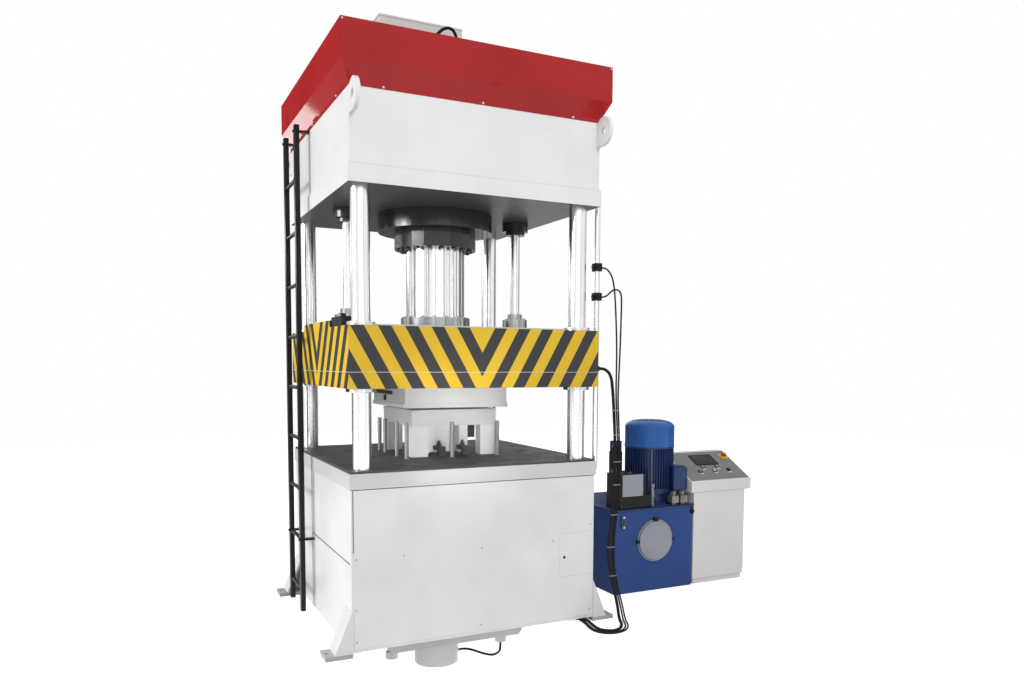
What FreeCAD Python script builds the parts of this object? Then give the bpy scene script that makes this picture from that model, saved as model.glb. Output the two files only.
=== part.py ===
"""Four-column hydraulic press with its power unit and control desk.

The frame is three welded boxes on four columns: the bed below, the crown above and the slide
between them, which the ram drives along the columns.  A cushion cylinder hangs under the bed
and lifts pins through it.  Origin: on the floor, midway between the four foundation feet.
+X runs to the right along the front, +Y to the back and +Z up.  All sizes are in millimetres.
"""
import FreeCAD, Part
import math
import os
import re

import Sketcher
from FreeCAD import Placement, Rotation, Vector

SIZES = {
    # bed: a hollow welded box under a thick plate
    "bed_width": 1600, "bed_depth": 1570, "bed_base": 28, "bed_top": 1060,
    "bed_plate": 88, "bed_setback": 8, "bed_wall": 16,
    "bed_lip_width": 60, "bed_lip": 16,
    "bed_window_side": 110, "bed_window_base": 120, "bed_window_top": 900,
    "bed_web": 20, "bed_web_height": 220,
    "bolster": 12, "bolster_inset": 6, "pin_hole_gap": 1.5, "column_hole_gap": 2,
    # front panel and its small door
    "panel_margin": 13, "panel_base": 45, "panel_top": 955, "panel_sheet": 4,
    "door_left": 541, "door_right": 770, "door_base": 318, "door_top": 598,
    "door_gap": 0.6, "door_sheet": 3, "door_lock_x": 573, "door_lock_z": 444,
    "door_lock_radius": 10, "door_lock_height": 4,
    # foundation feet
    "foot_inner": 790, "foot_outer": 945, "foot_front": 784, "foot_length": 144,
    "foot_plate": 25, "foot_rise": 245, "foot_run": 100, "foot_sheet": 14,
    "anchor_x": 924, "anchor_y": 712, "anchor_radius": 11,
    # columns and their nuts
    "column_x": 702, "column_y": 690, "column_radius": 55, "spigot_radius": 45,
    "spigot_below_nut": 12, "nut_radius": 68, "nut_height": 76, "fit_gap": 0.3,
    # crown
    "crown_base": 2648, "crown_plate": 99, "crown_top": 3177,
    "crown_width": 1596, "crown_depth": 1622, "crown_step": 10,
    "crown_wall": 25, "crown_roof": 40, "sleeve_wall": 28,
    "eye_radius": 85, "eye_hole": 25, "eye_plate": 22, "eye_reach": 72, "eye_height": 3092,
    # sheet cover over the crown
    "cover_sheet": 4, "cover_lip": 20, "cover_overhang": 51, "cover_slope_height": 100,
    "cover_fascia": 208,
    # box on the roof and its hose
    "roof_box_left": -541, "roof_box_right": -32, "roof_box_front": -550,
    "roof_box_back": -420, "roof_box_height": 176, "roof_hose_diameter": 18,
    "roof_gland_radius": 17, "roof_gland_reach": 18,
    # main cylinder, its gland and the ram
    "cylinder_radius": 300, "cylinder_headroom": 41, "cylinder_cap": 40,
    "flange_radius": 380, "flange_height": 116, "groove_height": 6, "groove_depth": 4,
    "gland_radius": 272, "gland_height": 112, "gland_bolts": 18, "gland_bolt_radius": 15,
    "gland_bolt_head": 12,
    "ram_radius": 195, "ram_top": 2960,
    "clamp_radius": 232, "clamp_height": 78, "clamp_bolts": 16, "clamp_bolt_radius": 11,
    "clamp_bolt_head": 10,
    # return cylinders
    "return_x": 595, "return_radius": 90, "return_base": 2586, "return_top": 3400,
    "return_nose_radius": 66, "return_nose": 24, "return_rod_radius": 32.5,
    "return_rod_top": 2930, "return_flange_radius": 86, "return_flange": 86,
    "return_neck_radius": 50, "return_neck": 39,
    # slide
    "slide_base": 1524, "slide_height": 354, "slide_width": 1602, "slide_depth": 1588,
    "slide_floor": 93, "slide_roof": 40, "slide_wall": 30, "slide_web": 30,
    "slide_boss": 250, "pad_width": 1220, "pad_depth": 1400, "pad_height": 12,
    "bush_wall": 12, "bush_collar": 82, "bush_collar_height": 20,
    "oiler_left": -790, "oiler_right": -728, "oiler_front": -600, "oiler_back": -352,
    "oiler_height": 58,
    # tooling
    "die_x": 45, "die_y": 70,
    "upper_die_width": 728, "upper_die_depth": 740, "upper_die_corner": 28,
    "upper_die_lip": 26, "upper_die_inset": 8, "die_gap": 16,
    "lower_die_width": 598, "lower_die_depth": 616, "lower_die_top": 1366,
    "lower_die_cap": 17, "lower_die_block": 89, "die_post_width": 108, "die_post_depth": 80,
    "die_post_inset": 6, "core_post_width": 200, "core_post_depth": 210,
    "inner_post_width": 62, "inner_post_depth": 150, "inner_post_offset": 140,
    "die_clamp_width": 46, "die_clamp_length": 118, "die_clamp_height": 26,
    "die_clamp_heel": 34, "die_stud_radius": 9, "die_stud_height": 96,
    "die_nut_radius": 17, "die_nut_height": 18,
    # cushion
    "pin_radius": 13.5, "pin_top": 1290, "pin_grid": 308,
    "cushion_plate_top": 930, "cushion_plate": 60, "cushion_plate_side": 760,
    "cushion_rod_radius": 80, "cushion_rod_base": 200,
    "cushion_radius": 150, "cushion_base": -393, "cushion_top": 600, "cushion_bottom": 40,
    "cushion_collar_radius": 195, "cushion_collar": 30,
    "carrier_base": -153, "carrier_floor": 30, "carrier_sheet": 20,
    "carrier_half_bottom": 445, "carrier_half_top": 570, "carrier_half_depth": 400,
    "boss_radius": 38, "boss_height": 42, "boss_left_x": -430, "boss_right_x": 330,
    "boss_y": -350, "cushion_hose_diameter": 16,
    "cushion_port_z": -345, "cushion_port_radius": 16, "cushion_port_reach": 14,
    # ladder on the left side
    "ladder_x": -870, "ladder_front": 200, "ladder_back": 555, "ladder_base": 15,
    "ladder_top": 3185, "stile_thickness": 30, "stile_width": 45, "rung_first": 160,
    "rung_pitch": 336, "rung_count": 9, "rung_radius": 13, "bracket_width": 40,
    "bracket_thickness": 12, "bracket_low": 490, "bracket_high": 3140,
    # limit switches on their rod beside the front right column
    "switch_rod_x": 842, "switch_rod_y": -700, "switch_rod_radius": 17,
    "switch_rod_drop": 75, "switch_rod_top": 2725, "switch_rod_arm": 26,
    "switch_upper": 2287, "switch_lower": 2100, "switch_width": 44, "switch_depth": 56,
    "switch_height": 50, "switch_lead_diameter": 11, "switch_nose_radius": 11,
    "switch_nose": 9,
    # cable that feeds the slide
    "slide_cable_diameter": 20, "slide_gland_y": -750, "slide_gland_z": 1640,
    "slide_gland_radius": 17, "slide_gland_reach": 31,
    "bed_gland_left": 700, "bed_gland_right": 768, "bed_gland_front": -730,
    "bed_gland_back": -706, "bed_gland_drop": 24,
    # oil tank and what stands on it
    "tank_left": 1240, "tank_right": 1935, "tank_front": -343, "tank_back": 457,
    "tank_height": 615, "tank_lid": 10, "tank_lid_overhang": 5, "tank_sheet": 6,
    "tank_corner": 14,
    "clean_out_x": 1587, "clean_out_z": 375, "clean_out_radius": 155, "clean_out_rim": 14,
    "clean_out_crown": 8, "clip_width": 26, "clip_length": 44, "clip_height": 20,
    "gauge_x": 1305, "gauge_z": 530, "gauge_width": 36, "gauge_height": 86, "gauge_depth": 14,
    "motor_x": 1722, "motor_y": -65, "motor_core": 166, "motor_fin_tip": 186,
    "motor_fin": 5, "motor_fins": 54, "motor_base": 712, "motor_foot": 20,
    "motor_top": 1046, "motor_shield": 12, "motor_shaft": 21,
    "bell_neck": 160, "bell_flange": 185, "bell_flange_height": 16, "bell_hollow": 90,
    "coupling_radius": 60, "coupling_height": 60, "shaft_base": 632,
    "fan_cover_radius": 188, "fan_cover_top": 1246, "fan_cover_sheet": 3,
    "fan_cover_round": 48, "grille_slots": 12, "grille_inner": 35, "grille_outer": 115,
    "grille_slot": 10, "fan_radius": 150, "fan_disc": 6, "fan_blade": 40, "fan_blades": 8,
    "terminal_left": 1805, "terminal_right": 1908, "terminal_front": -275,
    "terminal_back": -95, "terminal_base": 722, "terminal_top": 903, "terminal_corner": 12,
    "manifold_left": 1287, "manifold_right": 1462, "manifold_front": -332,
    "manifold_back": -150, "manifold_height": 255, "manifold_plate_right": 1505,
    "manifold_plate": 12, "manifold_foot_right": 1570, "manifold_foot_back": -250,
    "manifold_foot_height": 95,
    "valve_left": 1752, "valve_front": -325, "valve_width": 62, "valve_depth": 54,
    "valve_height": 52, "valve_pitch": 78, "valve_post": 20, "valve_cap_radius": 19,
    "valve_cap": 34,
    "filter_x": 1556, "filter_y": 150, "filter_radius": 52, "filter_joint": 985,
    "filter_top": 1068, "filter_cap_radius": 46,
    # control desk
    "cabinet_left": 1941, "cabinet_right": 2432, "cabinet_front": -343, "cabinet_back": 57,
    "cabinet_plinth": 40, "cabinet_plinth_inset": 12, "cabinet_sheet": 3,
    "desk_left": 1914, "desk_right": 2488, "desk_base": 706, "desk_lip": 81,
    "desk_slope": 28.2, "desk_run": 343, "screen_x": 2209, "screen_width": 200,
    "screen_height": 122, "screen_raise": 5, "screen_from_front": 266,
    "stop_x": 2437, "stop_from_front": 304, "stop_base_radius": 26, "stop_base": 6,
    "stop_head_radius": 20, "stop_head": 12, "stop_stem": 11, "stop_stem_height": 16,
    "button_radius": 11, "button_height": 8, "button_depth": 14, "button_from_front": 122,
    "button_first": 2080, "button_pitch": 139, "lamp_from_front": 176,
    "lamp_first": 2142, "lamp_pitch": 138, "lamp_height": 6,
    "socket_gap": 0.3, "socket_depth": 24,
}

# sizes that follow from those above
FOLLOWING = {
    "cover_top": "=crown_top + cover_slope_height + cover_fascia",
    "cylinder_top": "=cover_top - cover_sheet - cylinder_headroom",
    "switch_rod_base": "=bed_top - switch_rod_drop",
}
ALIASES = SIZES | FOLLOWING

doc = FreeCAD.newDocument("HydraulicPress")
sheet = doc.addObject("Spreadsheet::Sheet", "Sizes")
for row, (alias, size) in enumerate(ALIASES.items(), start=1):
    sheet.set(f"A{row}", alias)
    sheet.set(f"B{row}", str(size))
    sheet.setAlias(f"B{row}", alias)
doc.recompute()

NODES = []


# ---------------------------------------------------------------- building blocks

def sized(expression):
    """Puts the sheet's name before each of its aliases in an expression."""
    def with_sheet(word):
        return f"Sizes.{word.group(0)}" if word.group(0) in ALIASES else word.group(0)
    return re.sub(r"[a-z][a-z_]*", with_sheet, expression)


def bind(item, **bindings):
    """Ties properties to expressions; a double underscore in a name stands for a dot."""
    for name, expression in bindings.items():
        item.setExpression(name.replace("__", "."), sized(expression))


def put(item, x="0", y="0", z="0"):
    """Ties an object's place to three expressions."""
    bind(item, Placement__Base__x=x, Placement__Base__y=y, Placement__Base__z=z)
    return item


def block(name, x, y, z):
    """A box between the low and high value given for each axis."""
    item = doc.addObject("Part::Box", name)
    bind(item, Length=f"({x[1]}) - ({x[0]})", Width=f"({y[1]}) - ({y[0]})",
         Height=f"({z[1]}) - ({z[0]})")
    return put(item, x[0], y[0], z[0])


def post(name, radius, z, x="0", y="0"):
    """An upright cylinder between two heights."""
    item = doc.addObject("Part::Cylinder", name)
    bind(item, Radius=radius, Height=f"({z[1]}) - ({z[0]})")
    return put(item, x, y, z[0])


def bar(name, radius, length, x, y, z, towards):
    """A cylinder that starts at a point and runs in a given direction."""
    item = doc.addObject("Part::Cylinder", name)
    item.Placement = Placement(Vector(), Rotation(Vector(0, 0, 1), Vector(*towards)))
    bind(item, Radius=radius, Height=length)
    return put(item, x, y, z)


def hexagon(name, radius, z, x="0", y="0", sides=6):
    """An upright prism, six-sided unless told otherwise, of the given corner radius."""
    item = doc.addObject("Part::Prism", name)
    item.Polygon = sides
    bind(item, Circumradius=radius, Height=f"({z[1]}) - ({z[0]})")
    return put(item, x, y, z[0])


def joined(name, *pieces):
    """One solid made from pieces that touch or overlap."""
    item = doc.addObject("Part::MultiFuse", name)
    item.Shapes = list(pieces)
    item.Refine = True
    return item


def less(name, base, *tools):
    """The base with every tool taken out of it."""
    item = doc.addObject("Part::Cut", name)
    item.Base = base
    item.Tool = tools[0] if len(tools) == 1 else joined(f"{name}_tools", *tools)
    item.Refine = True
    return item


def group(name, *pieces):
    """Like pieces that share one node as separate solids."""
    item = doc.addObject("Part::Compound", name)
    item.Links = list(pieces)
    return item


def mirrored(name, source, normal):
    """A copy mirrored in the plane through the origin with the given normal."""
    item = doc.addObject("Part::Mirroring", name)
    item.Source = source
    item.Normal = Vector(*normal)
    return item


def origin_plane(body, role):
    """One of a body's own origin planes or axes."""
    return next(item for item in body.Origin.OriginFeatures if item.Role == role)


def outline(body, name, role, corners):
    """A closed sketch on a body's own plane, each corner pinned by two expressions."""
    sketch = body.newObject("Sketcher::SketchObject", name)
    sketch.AttachmentSupport = (origin_plane(body, role), [""])
    sketch.MapMode = "FlatFace"
    count = len(corners)
    turn = 2 * math.pi / count
    spots = [Vector(100 * math.cos(turn * i), 100 * math.sin(turn * i), 0) for i in range(count)]
    for i in range(count):
        sketch.addGeometry(Part.LineSegment(spots[i], spots[(i + 1) % count]), False)
    for i in range(count):
        sketch.addConstraint(Sketcher.Constraint("Coincident", i, 2, (i + 1) % count, 1))
    for i, corner in enumerate(corners):
        for kind, start, expression in zip(("DistanceX", "DistanceY"), spots[i], corner):
            number = sketch.addConstraint(Sketcher.Constraint(kind, -1, 1, i, 1, start))
            sketch.setExpression(f"Constraints[{number}]", sized(expression))
    return sketch


def extruded(name, role, corners, length):
    """A body padded from an outline: XY pads up, YZ pads towards +X, XZ towards -Y."""
    body = doc.addObject("PartDesign::Body", name)
    sketch = outline(body, f"{name}_outline", role, corners)
    pad = body.newObject("PartDesign::Pad", f"{name}_pad")
    pad.Profile = sketch
    bind(pad, Length=length)
    return body


def turned(name, corners, x="0", y="0"):
    """A body revolved about an upright axis from an outline of radius and height."""
    body = doc.addObject("PartDesign::Body", name)
    sketch = outline(body, f"{name}_outline", "XZ_Plane", corners)
    revolution = body.newObject("PartDesign::Revolution", f"{name}_turn")
    revolution.Profile = sketch
    revolution.ReferenceAxis = (sketch, ["V_Axis"])
    revolution.Angle = 360
    return put(body, x, y)


def rounded_block(name, x, y, z, radius):
    """A box whose upright edges are rounded."""
    corners = [(x[0], y[0]), (x[1], y[0]), (x[1], y[1]), (x[0], y[1])]
    body = extruded(name, "XY_Plane", corners, f"({z[1]}) - ({z[0]})")
    put(body, z=z[0])
    doc.recompute()
    pad = body.Tip
    upright = [f"Edge{number}" for number, edge in enumerate(pad.Shape.Edges, start=1)
               if abs(edge.tangentAt(edge.FirstParameter).z) > 0.9]
    fillet = body.newObject("PartDesign::Fillet", f"{name}_round")
    fillet.Base = (pad, upright)
    bind(fillet, Radius=radius)
    body.Tip = fillet
    return body


def node(item, label):
    """Names a finished sub-part and lists it for export."""
    item.Label = label
    NODES.append(item)
    return item


def size_of(alias):
    """The sheet's number for an alias, for shapes that are worked out in code."""
    return float(sheet.get(alias))


def tube_path(points):
    """Straight runs joined by tangent arcs as large as the two runs at each point allow."""
    spots = [Vector(*point) for point in points]
    edges = []
    radii = []
    start = spots[0]
    for before, corner, after in zip(spots, spots[1:], spots[2:]):
        incoming = corner - before
        outgoing = after - corner
        shorter = min(incoming.Length, outgoing.Length)
        half_turn = incoming.getAngle(outgoing) / 2
        setback = 0.45 * shorter
        radii.append(setback / math.tan(half_turn))
        incoming.normalize()
        outgoing.normalize()
        arc_start = corner - incoming * setback
        arc_end = corner + outgoing * setback
        inward = outgoing - incoming
        inward.normalize()
        depth = setback * math.tan(half_turn / 2)
        middle = corner + inward * depth
        edges.append(Part.LineSegment(start, arc_start).toShape())
        edges.append(Part.Arc(arc_start, middle, arc_end).toShape())
        start = arc_end
    edges.append(Part.LineSegment(start, spots[-1]).toShape())
    return Part.Wire(edges), radii


def cord(name, points, diameter):
    """A round cord swept along its route; prints its length, tightest bend and volume."""
    path, radii = tube_path(points)
    heading = Vector(*points[1]) - Vector(*points[0])
    section = Part.Wire([Part.Circle(Vector(*points[0]), heading, diameter / 2).toShape()])
    solid = path.makePipeShell([section], True, False)
    expected = math.pi * diameter ** 2 / 4 * path.Length
    print(f"{name}: length {path.Length:.0f} mm, radii {[round(radius) for radius in radii]}, "
          f"volume / expected {solid.Volume / expected:.4f}")
    return solid


def cord_node(label, *solids):
    """A node of one or more cords worked out in code."""
    item = doc.addObject("Part::Feature", label)
    item.Shape = solids[0] if len(solids) == 1 else Part.makeCompound(list(solids))
    return node(item, label)


CORNERS = [("front_left", -1, -1), ("front_right", 1, -1),
           ("back_left", -1, 1), ("back_right", 1, 1)]


def at_columns(make):
    """Calls a maker once for each column with its name and place."""
    return [make(name, f"{side} * column_x", f"{end} * column_y") for name, side, end in CORNERS]


# ---------------------------------------------------------------- bed

BED_PLATE_BASE = "bed_top - bolster - bed_plate"
BED_HALF_X = "bed_width / 2 - bed_setback"
BED_HALF_Y = "bed_depth / 2 - bed_setback"


def both(half):
    """The low and high value of a span centred on the origin."""
    return f"-({half})", f"{half}"


def about(centre, width, inset="0"):
    """The low and high value of a span about a centre, drawn in by an inset."""
    return (f"{centre} - {width} / 2 + {inset}", f"{centre} + {width} / 2 - {inset}")


def make_bed_frame():
    inner_x = f"{BED_HALF_X} - bed_wall"
    inner_y = f"{BED_HALF_Y} - bed_wall"
    outer = block("bed_outer", both(BED_HALF_X), both(BED_HALF_Y), ("bed_base", BED_PLATE_BASE))
    hollow = block("bed_hollow", both(inner_x), both(inner_y),
                   ("bed_base + bed_lip", f"{BED_PLATE_BASE} + 1"))
    throat = block("bed_throat", both(f"{inner_x} - bed_lip_width"),
                   both(f"{inner_y} - bed_lip_width"), ("bed_base - 1", "bed_base + bed_lip"))
    window = block("bed_window", both("bed_width / 2 - bed_window_side"),
                   (f"-({BED_HALF_Y}) - 1", f"-({inner_y})"),
                   ("bed_window_base", "bed_window_top"))
    shell = less("bed_shell", outer, hollow, throat, window)
    web_x = "(carrier_half_top - bed_web / 2)"
    webs = [block(f"bed_web_{name}", about(f"{side} * {web_x}", "bed_web"),
                  both(inner_y), ("bed_base", "bed_base + bed_web_height"))
            for name, side in (("left", -1), ("right", 1))]
    node(joined("bed_weldment", shell, *webs), "bed_frame")


PINS = [("left_a", "-pin_grid", "-pin_grid + 8"), ("left_b", "-pin_grid", "-100"),
        ("left_c", "-pin_grid", "160"), ("left_d", "-pin_grid", "pin_grid - 18"),
        ("front", "0", "-pin_grid"), ("right_front", "pin_grid + 12", "-pin_grid")]


def make_bed_plates():
    plate = block("bed_plate_blank", both("bed_width / 2"), both("bed_depth / 2"),
                  (BED_PLATE_BASE, "bed_top - bolster"))
    top = block("bolster_blank", both("bed_width / 2 - bolster_inset"),
                both("bed_depth / 2 - bolster_inset"), ("bed_top - bolster", "bed_top"))
    through_plate = (f"{BED_PLATE_BASE} - 1", "bed_top - bolster + 1")
    through_top = ("bed_top - bolster - 1", "bed_top + 1")
    pin_hole = "pin_radius + pin_hole_gap"
    plate_holes = at_columns(lambda name, x, y: post(
        f"bed_spigot_hole_{name}", "spigot_radius + fit_gap", through_plate, x, y))
    top_holes = at_columns(lambda name, x, y: post(
        f"bolster_hole_{name}", "column_radius + column_hole_gap", through_top, x, y))
    for name, x, y in PINS:
        plate_holes.append(post(f"bed_pin_hole_{name}", pin_hole, through_plate, x, y))
        top_holes.append(post(f"bolster_pin_hole_{name}", pin_hole, through_top, x, y))
    node(less("bed_plate_drilled", plate, *plate_holes), "bed_top_plate")
    node(less("bolster_drilled", top, *top_holes), "bolster_plate")


def make_front_panel():
    front = f"-({BED_HALF_Y}) - panel_sheet"
    sheet_metal = block("panel_blank", both(f"{BED_HALF_X} - panel_margin"),
                        (front, f"-({BED_HALF_Y})"), ("panel_base", "panel_top"))
    opening = block("panel_opening", ("door_left", "door_right"),
                    (f"{front} - 1", f"-({BED_HALF_Y}) + 1"), ("door_base", "door_top"))
    node(less("panel_cut", sheet_metal, opening), "front_panel")
    leaf = block("door_leaf", ("door_left + door_gap", "door_right - door_gap"),
                 (front, f"{front} + door_sheet"),
                 ("door_base + door_gap", "door_top - door_gap"))
    lock = bar("door_lock", "door_lock_radius", "door_lock_height + door_sheet",
               "door_lock_x", f"{front} + door_sheet", "door_lock_z", (0, -1, 0))
    node(joined("door_with_lock", leaf, lock), "inspection_door")


def make_feet():
    plate = block("foot_plate_blank", ("-foot_outer", "-foot_inner"),
                  ("-foot_front", "-foot_front + foot_length"), ("0", "foot_plate"))
    hole = post("foot_hole", "anchor_radius", ("-1", "foot_plate + 1"), "-anchor_x", "-anchor_y")
    drilled = less("foot_drilled", plate, hole)
    wall = f"-({BED_HALF_X})"
    toe = f"{wall} - foot_run"
    wedge = [(wall, "foot_plate"), (wall, "foot_plate + foot_rise"), (toe, "foot_plate")]
    brace = [(f"{wall}", "foot_plate + foot_rise"), (toe, "foot_plate"),
             (f"{toe} + foot_sheet", "foot_plate"),
             (wall, "foot_plate + foot_rise - foot_sheet * foot_rise / foot_run")]
    web = extruded("foot_web", "XZ_Plane", wedge, "foot_sheet")
    put(web, y="-foot_front + foot_sheet")
    slope = extruded("foot_slope", "XZ_Plane", brace, "foot_length")
    put(slope, y="-foot_front + foot_length")
    foot = joined("foot_front_left", drilled, web, slope)
    right = mirrored("foot_front_right", foot, (1, 0, 0))
    back = mirrored("foot_back_left", foot, (0, 1, 0))
    back_right = mirrored("foot_back_right", right, (0, 1, 0))
    node(group("feet", foot, right, back, back_right), "anchor_feet")


# ---------------------------------------------------------------- columns and crown

def make_columns():
    shoulder = "bed_top - bolster"
    low_end = f"{BED_PLATE_BASE} - nut_height - spigot_below_nut"
    high_end = "crown_top + nut_height + spigot_below_nut"

    def column(name, x, y):
        outline_points = [("0", low_end), ("spigot_radius", low_end),
                          ("spigot_radius", shoulder), ("column_radius", shoulder),
                          ("column_radius", "crown_base"), ("spigot_radius", "crown_base"),
                          ("spigot_radius", high_end), ("0", high_end)]
        node(turned(f"column_{name}_body", outline_points, x, y), f"column_{name}")

    def nuts(name, x, y):
        pair = []
        for level, base in (("lower", f"{BED_PLATE_BASE} - nut_height"), ("upper", "crown_top")):
            blank = hexagon(f"{level}_nut_blank_{name}", "nut_radius",
                            (base, f"{base} + nut_height"), x, y)
            thread = post(f"{level}_nut_bore_{name}", "spigot_radius + fit_gap",
                          (f"{base} - 1", f"{base} + nut_height + 1"), x, y)
            pair.append(less(f"{level}_nut_{name}", blank, thread))
        return pair

    at_columns(column)
    all_nuts = [nut for pair in at_columns(nuts) for nut in pair]
    node(group("nuts", *all_nuts), "column_nuts")


def weldment(name, blank, cavity, sleeves, webs, bores):
    """A closed welded box: sleeves and webs stand in its cavity, and bores pass through."""
    chambers = less(f"{name}_chambers", cavity, *sleeves, *webs)
    return less(name, blank, chambers, *bores)


def make_crown():
    half_x = "crown_width / 2"
    half_y = "crown_depth / 2"
    plate = block("crown_plate_blank", both(half_x), both(half_y),
                  ("crown_base", "crown_base + crown_plate"))
    upper = block("crown_box", both(f"{half_x} - crown_step"), both(f"{half_y} - crown_step"),
                  ("crown_base + crown_plate", "crown_top"))
    blank = joined("crown_blank", plate, upper)
    inside = ("crown_base + crown_plate", "crown_top - crown_roof")
    cavity = block("crown_cavity", both(f"{half_x} - crown_step - crown_wall"),
                   both(f"{half_y} - crown_step - crown_wall"), inside)
    through = ("crown_base - 1", "crown_top + 1")
    sleeves = at_columns(lambda name, x, y: post(
        f"crown_sleeve_{name}", "spigot_radius + sleeve_wall", inside, x, y))
    bores = at_columns(lambda name, x, y: post(
        f"crown_bore_{name}", "spigot_radius + fit_gap", through, x, y))
    sleeves.append(post("crown_sleeve_main", "cylinder_radius + sleeve_wall", inside))
    bores.append(post("crown_bore_main", "cylinder_radius + fit_gap", through))
    for name, side in (("left", -1), ("right", 1)):
        place = f"{side} * return_x"
        sleeves.append(post(f"crown_sleeve_{name}", "return_radius + sleeve_wall", inside, place))
        bores.append(post(f"crown_bore_{name}", "return_radius + fit_gap", through, place))
    node(weldment("crown_weldment", blank, cavity, sleeves, [], bores), "crown_frame")


def make_lifting_eyes():
    wall_y = "crown_depth / 2 - crown_step"
    outer_x = "crown_width / 2 - crown_step"
    disc = bar("eye_disc", "eye_radius", "eye_plate", f"-({outer_x})",
               f"-({wall_y}) - eye_reach", "eye_height", (1, 0, 0))
    root = block("eye_root", (f"-({outer_x})", f"-({outer_x}) + eye_plate"),
                 (f"-({wall_y}) - eye_reach", f"-({wall_y})"),
                 ("eye_height - eye_radius", "crown_top - cover_lip"))
    keep = block("eye_keep", (f"-({outer_x}) - 1", f"-({outer_x}) + eye_plate + 1"),
                 (f"-({wall_y}) - eye_reach - eye_radius - 1", f"-({wall_y})"),
                 ("eye_height - eye_radius - 1", "eye_height + eye_radius + 1"))
    plate = doc.addObject("Part::Common", "eye_plate_trimmed")
    plate.Base = joined("eye_plate_blank", disc, root)
    plate.Tool = keep
    hole = bar("eye_bore", "eye_hole", "eye_plate + 2", f"-({outer_x}) - 1",
               f"-({wall_y}) - eye_reach", "eye_height", (1, 0, 0))
    eye = less("eye_front_left", plate, hole)
    right = mirrored("eye_front_right", eye, (1, 0, 0))
    back = mirrored("eye_back_left", eye, (0, 1, 0))
    back_right = mirrored("eye_back_right", right, (0, 1, 0))
    node(group("eyes", eye, right, back, back_right), "lifting_eyes")


def frustum(name, low_x, low_y, high_x, high_y, z):
    """A four-sided taper between two centred rectangles at two heights."""
    item = doc.addObject("Part::Wedge", name)
    item.Placement = Placement(Vector(), Rotation(Vector(1, 0, 0), 90))
    bind(item, Xmin=f"-({low_x})", Xmax=low_x, Zmin=f"-({low_y})", Zmax=low_y,
         X2min=f"-({high_x})", X2max=high_x, Z2min=f"-({high_y})", Z2max=high_y,
         Ymin="0", Ymax=f"({z[1]}) - ({z[0]})")
    return put(item, z=z[0])


def make_top_cover():
    box_x = "crown_width / 2 - crown_step"
    box_y = "crown_depth / 2 - crown_step"
    fold = "crown_top + cover_slope_height"

    def skin(name, grow, low, high):
        lip = block(f"{name}_lip", both(f"{box_x} + {grow}"), both(f"{box_y} + {grow}"),
                    (low, "crown_top"))
        slope = frustum(f"{name}_slope", f"{box_x} + {grow}", f"{box_y} + {grow}",
                        f"{box_x} + {grow} + cover_overhang",
                        f"{box_y} + {grow} + cover_overhang", ("crown_top", fold))
        fascia = block(f"{name}_fascia", both(f"{box_x} + {grow} + cover_overhang"),
                       both(f"{box_y} + {grow} + cover_overhang"), (fold, high))
        return joined(name, lip, slope, fascia)

    outer = skin("cover_outer", "cover_sheet", "crown_top - cover_lip", "cover_top")
    inner = skin("cover_inner", "0", "crown_top - cover_lip - 1", "cover_top - cover_sheet")
    shell = less("cover_shell", outer, inner)
    gland = post("cover_gland", "roof_gland_radius", ("cover_top", "cover_top + roof_gland_reach"),
                 str(ROOF_HOSE[-1][0]), str(ROOF_HOSE[-1][1]))
    node(joined("cover_with_gland", shell, gland), "top_cover")


# ---------------------------------------------------------------- cylinders and ram

def make_main_cylinder():
    flange_base = "crown_base - flange_height"
    bore = "ram_radius + fit_gap"
    body = turned("main_cylinder_body", [
        (bore, flange_base), ("flange_radius", flange_base),
        ("flange_radius", "crown_base - 6 * groove_height"),
        ("flange_radius - groove_depth", "crown_base - 6 * groove_height"),
        ("flange_radius - groove_depth", "crown_base - 5 * groove_height"),
        ("flange_radius", "crown_base - 5 * groove_height"),
        ("flange_radius", "crown_base - 3 * groove_height"),
        ("flange_radius - groove_depth", "crown_base - 3 * groove_height"),
        ("flange_radius - groove_depth", "crown_base - 2 * groove_height"),
        ("flange_radius", "crown_base - 2 * groove_height"),
        ("flange_radius", "crown_base"), ("cylinder_radius", "crown_base"),
        ("cylinder_radius", "cylinder_top"), ("0", "cylinder_top"),
        ("0", "cylinder_top - cylinder_cap"), (bore, "cylinder_top - cylinder_cap")])
    node(body, "main_cylinder")


def ring_of(count_alias, make):
    """Calls a maker at evenly spaced angles, as many times as the sheet says."""
    count = int(size_of(count_alias))
    return [make(number, 360 * number / count) for number in range(count)]


def around(radius, angle):
    """The x and y expressions of a point on a circle about the press's axis."""
    return f"({radius}) * cos({angle:.3f} deg)", f"({radius}) * sin({angle:.3f} deg)"


def make_gland():
    top = "crown_base - flange_height"
    base = f"{top} - gland_height"
    blank = hexagon("gland_blank", "gland_radius", (base, top), sides=20)
    bore = post("gland_bore", "ram_radius + fit_gap", (f"{base} - 1", f"{top} + 1"))
    circle = "(gland_radius + ram_radius) / 2"

    def bolt(number, angle):
        x, y = around(circle, angle)
        return hexagon(f"gland_bolt_{number}", "gland_bolt_radius",
                       (f"{base} - gland_bolt_head", base), x, y)

    bolts = ring_of("gland_bolts", bolt)
    node(joined("gland_bolted", less("gland_bored", blank, bore), *bolts), "gland_ring")


PAD_TOP = "slide_base + slide_height + pad_height"


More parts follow.
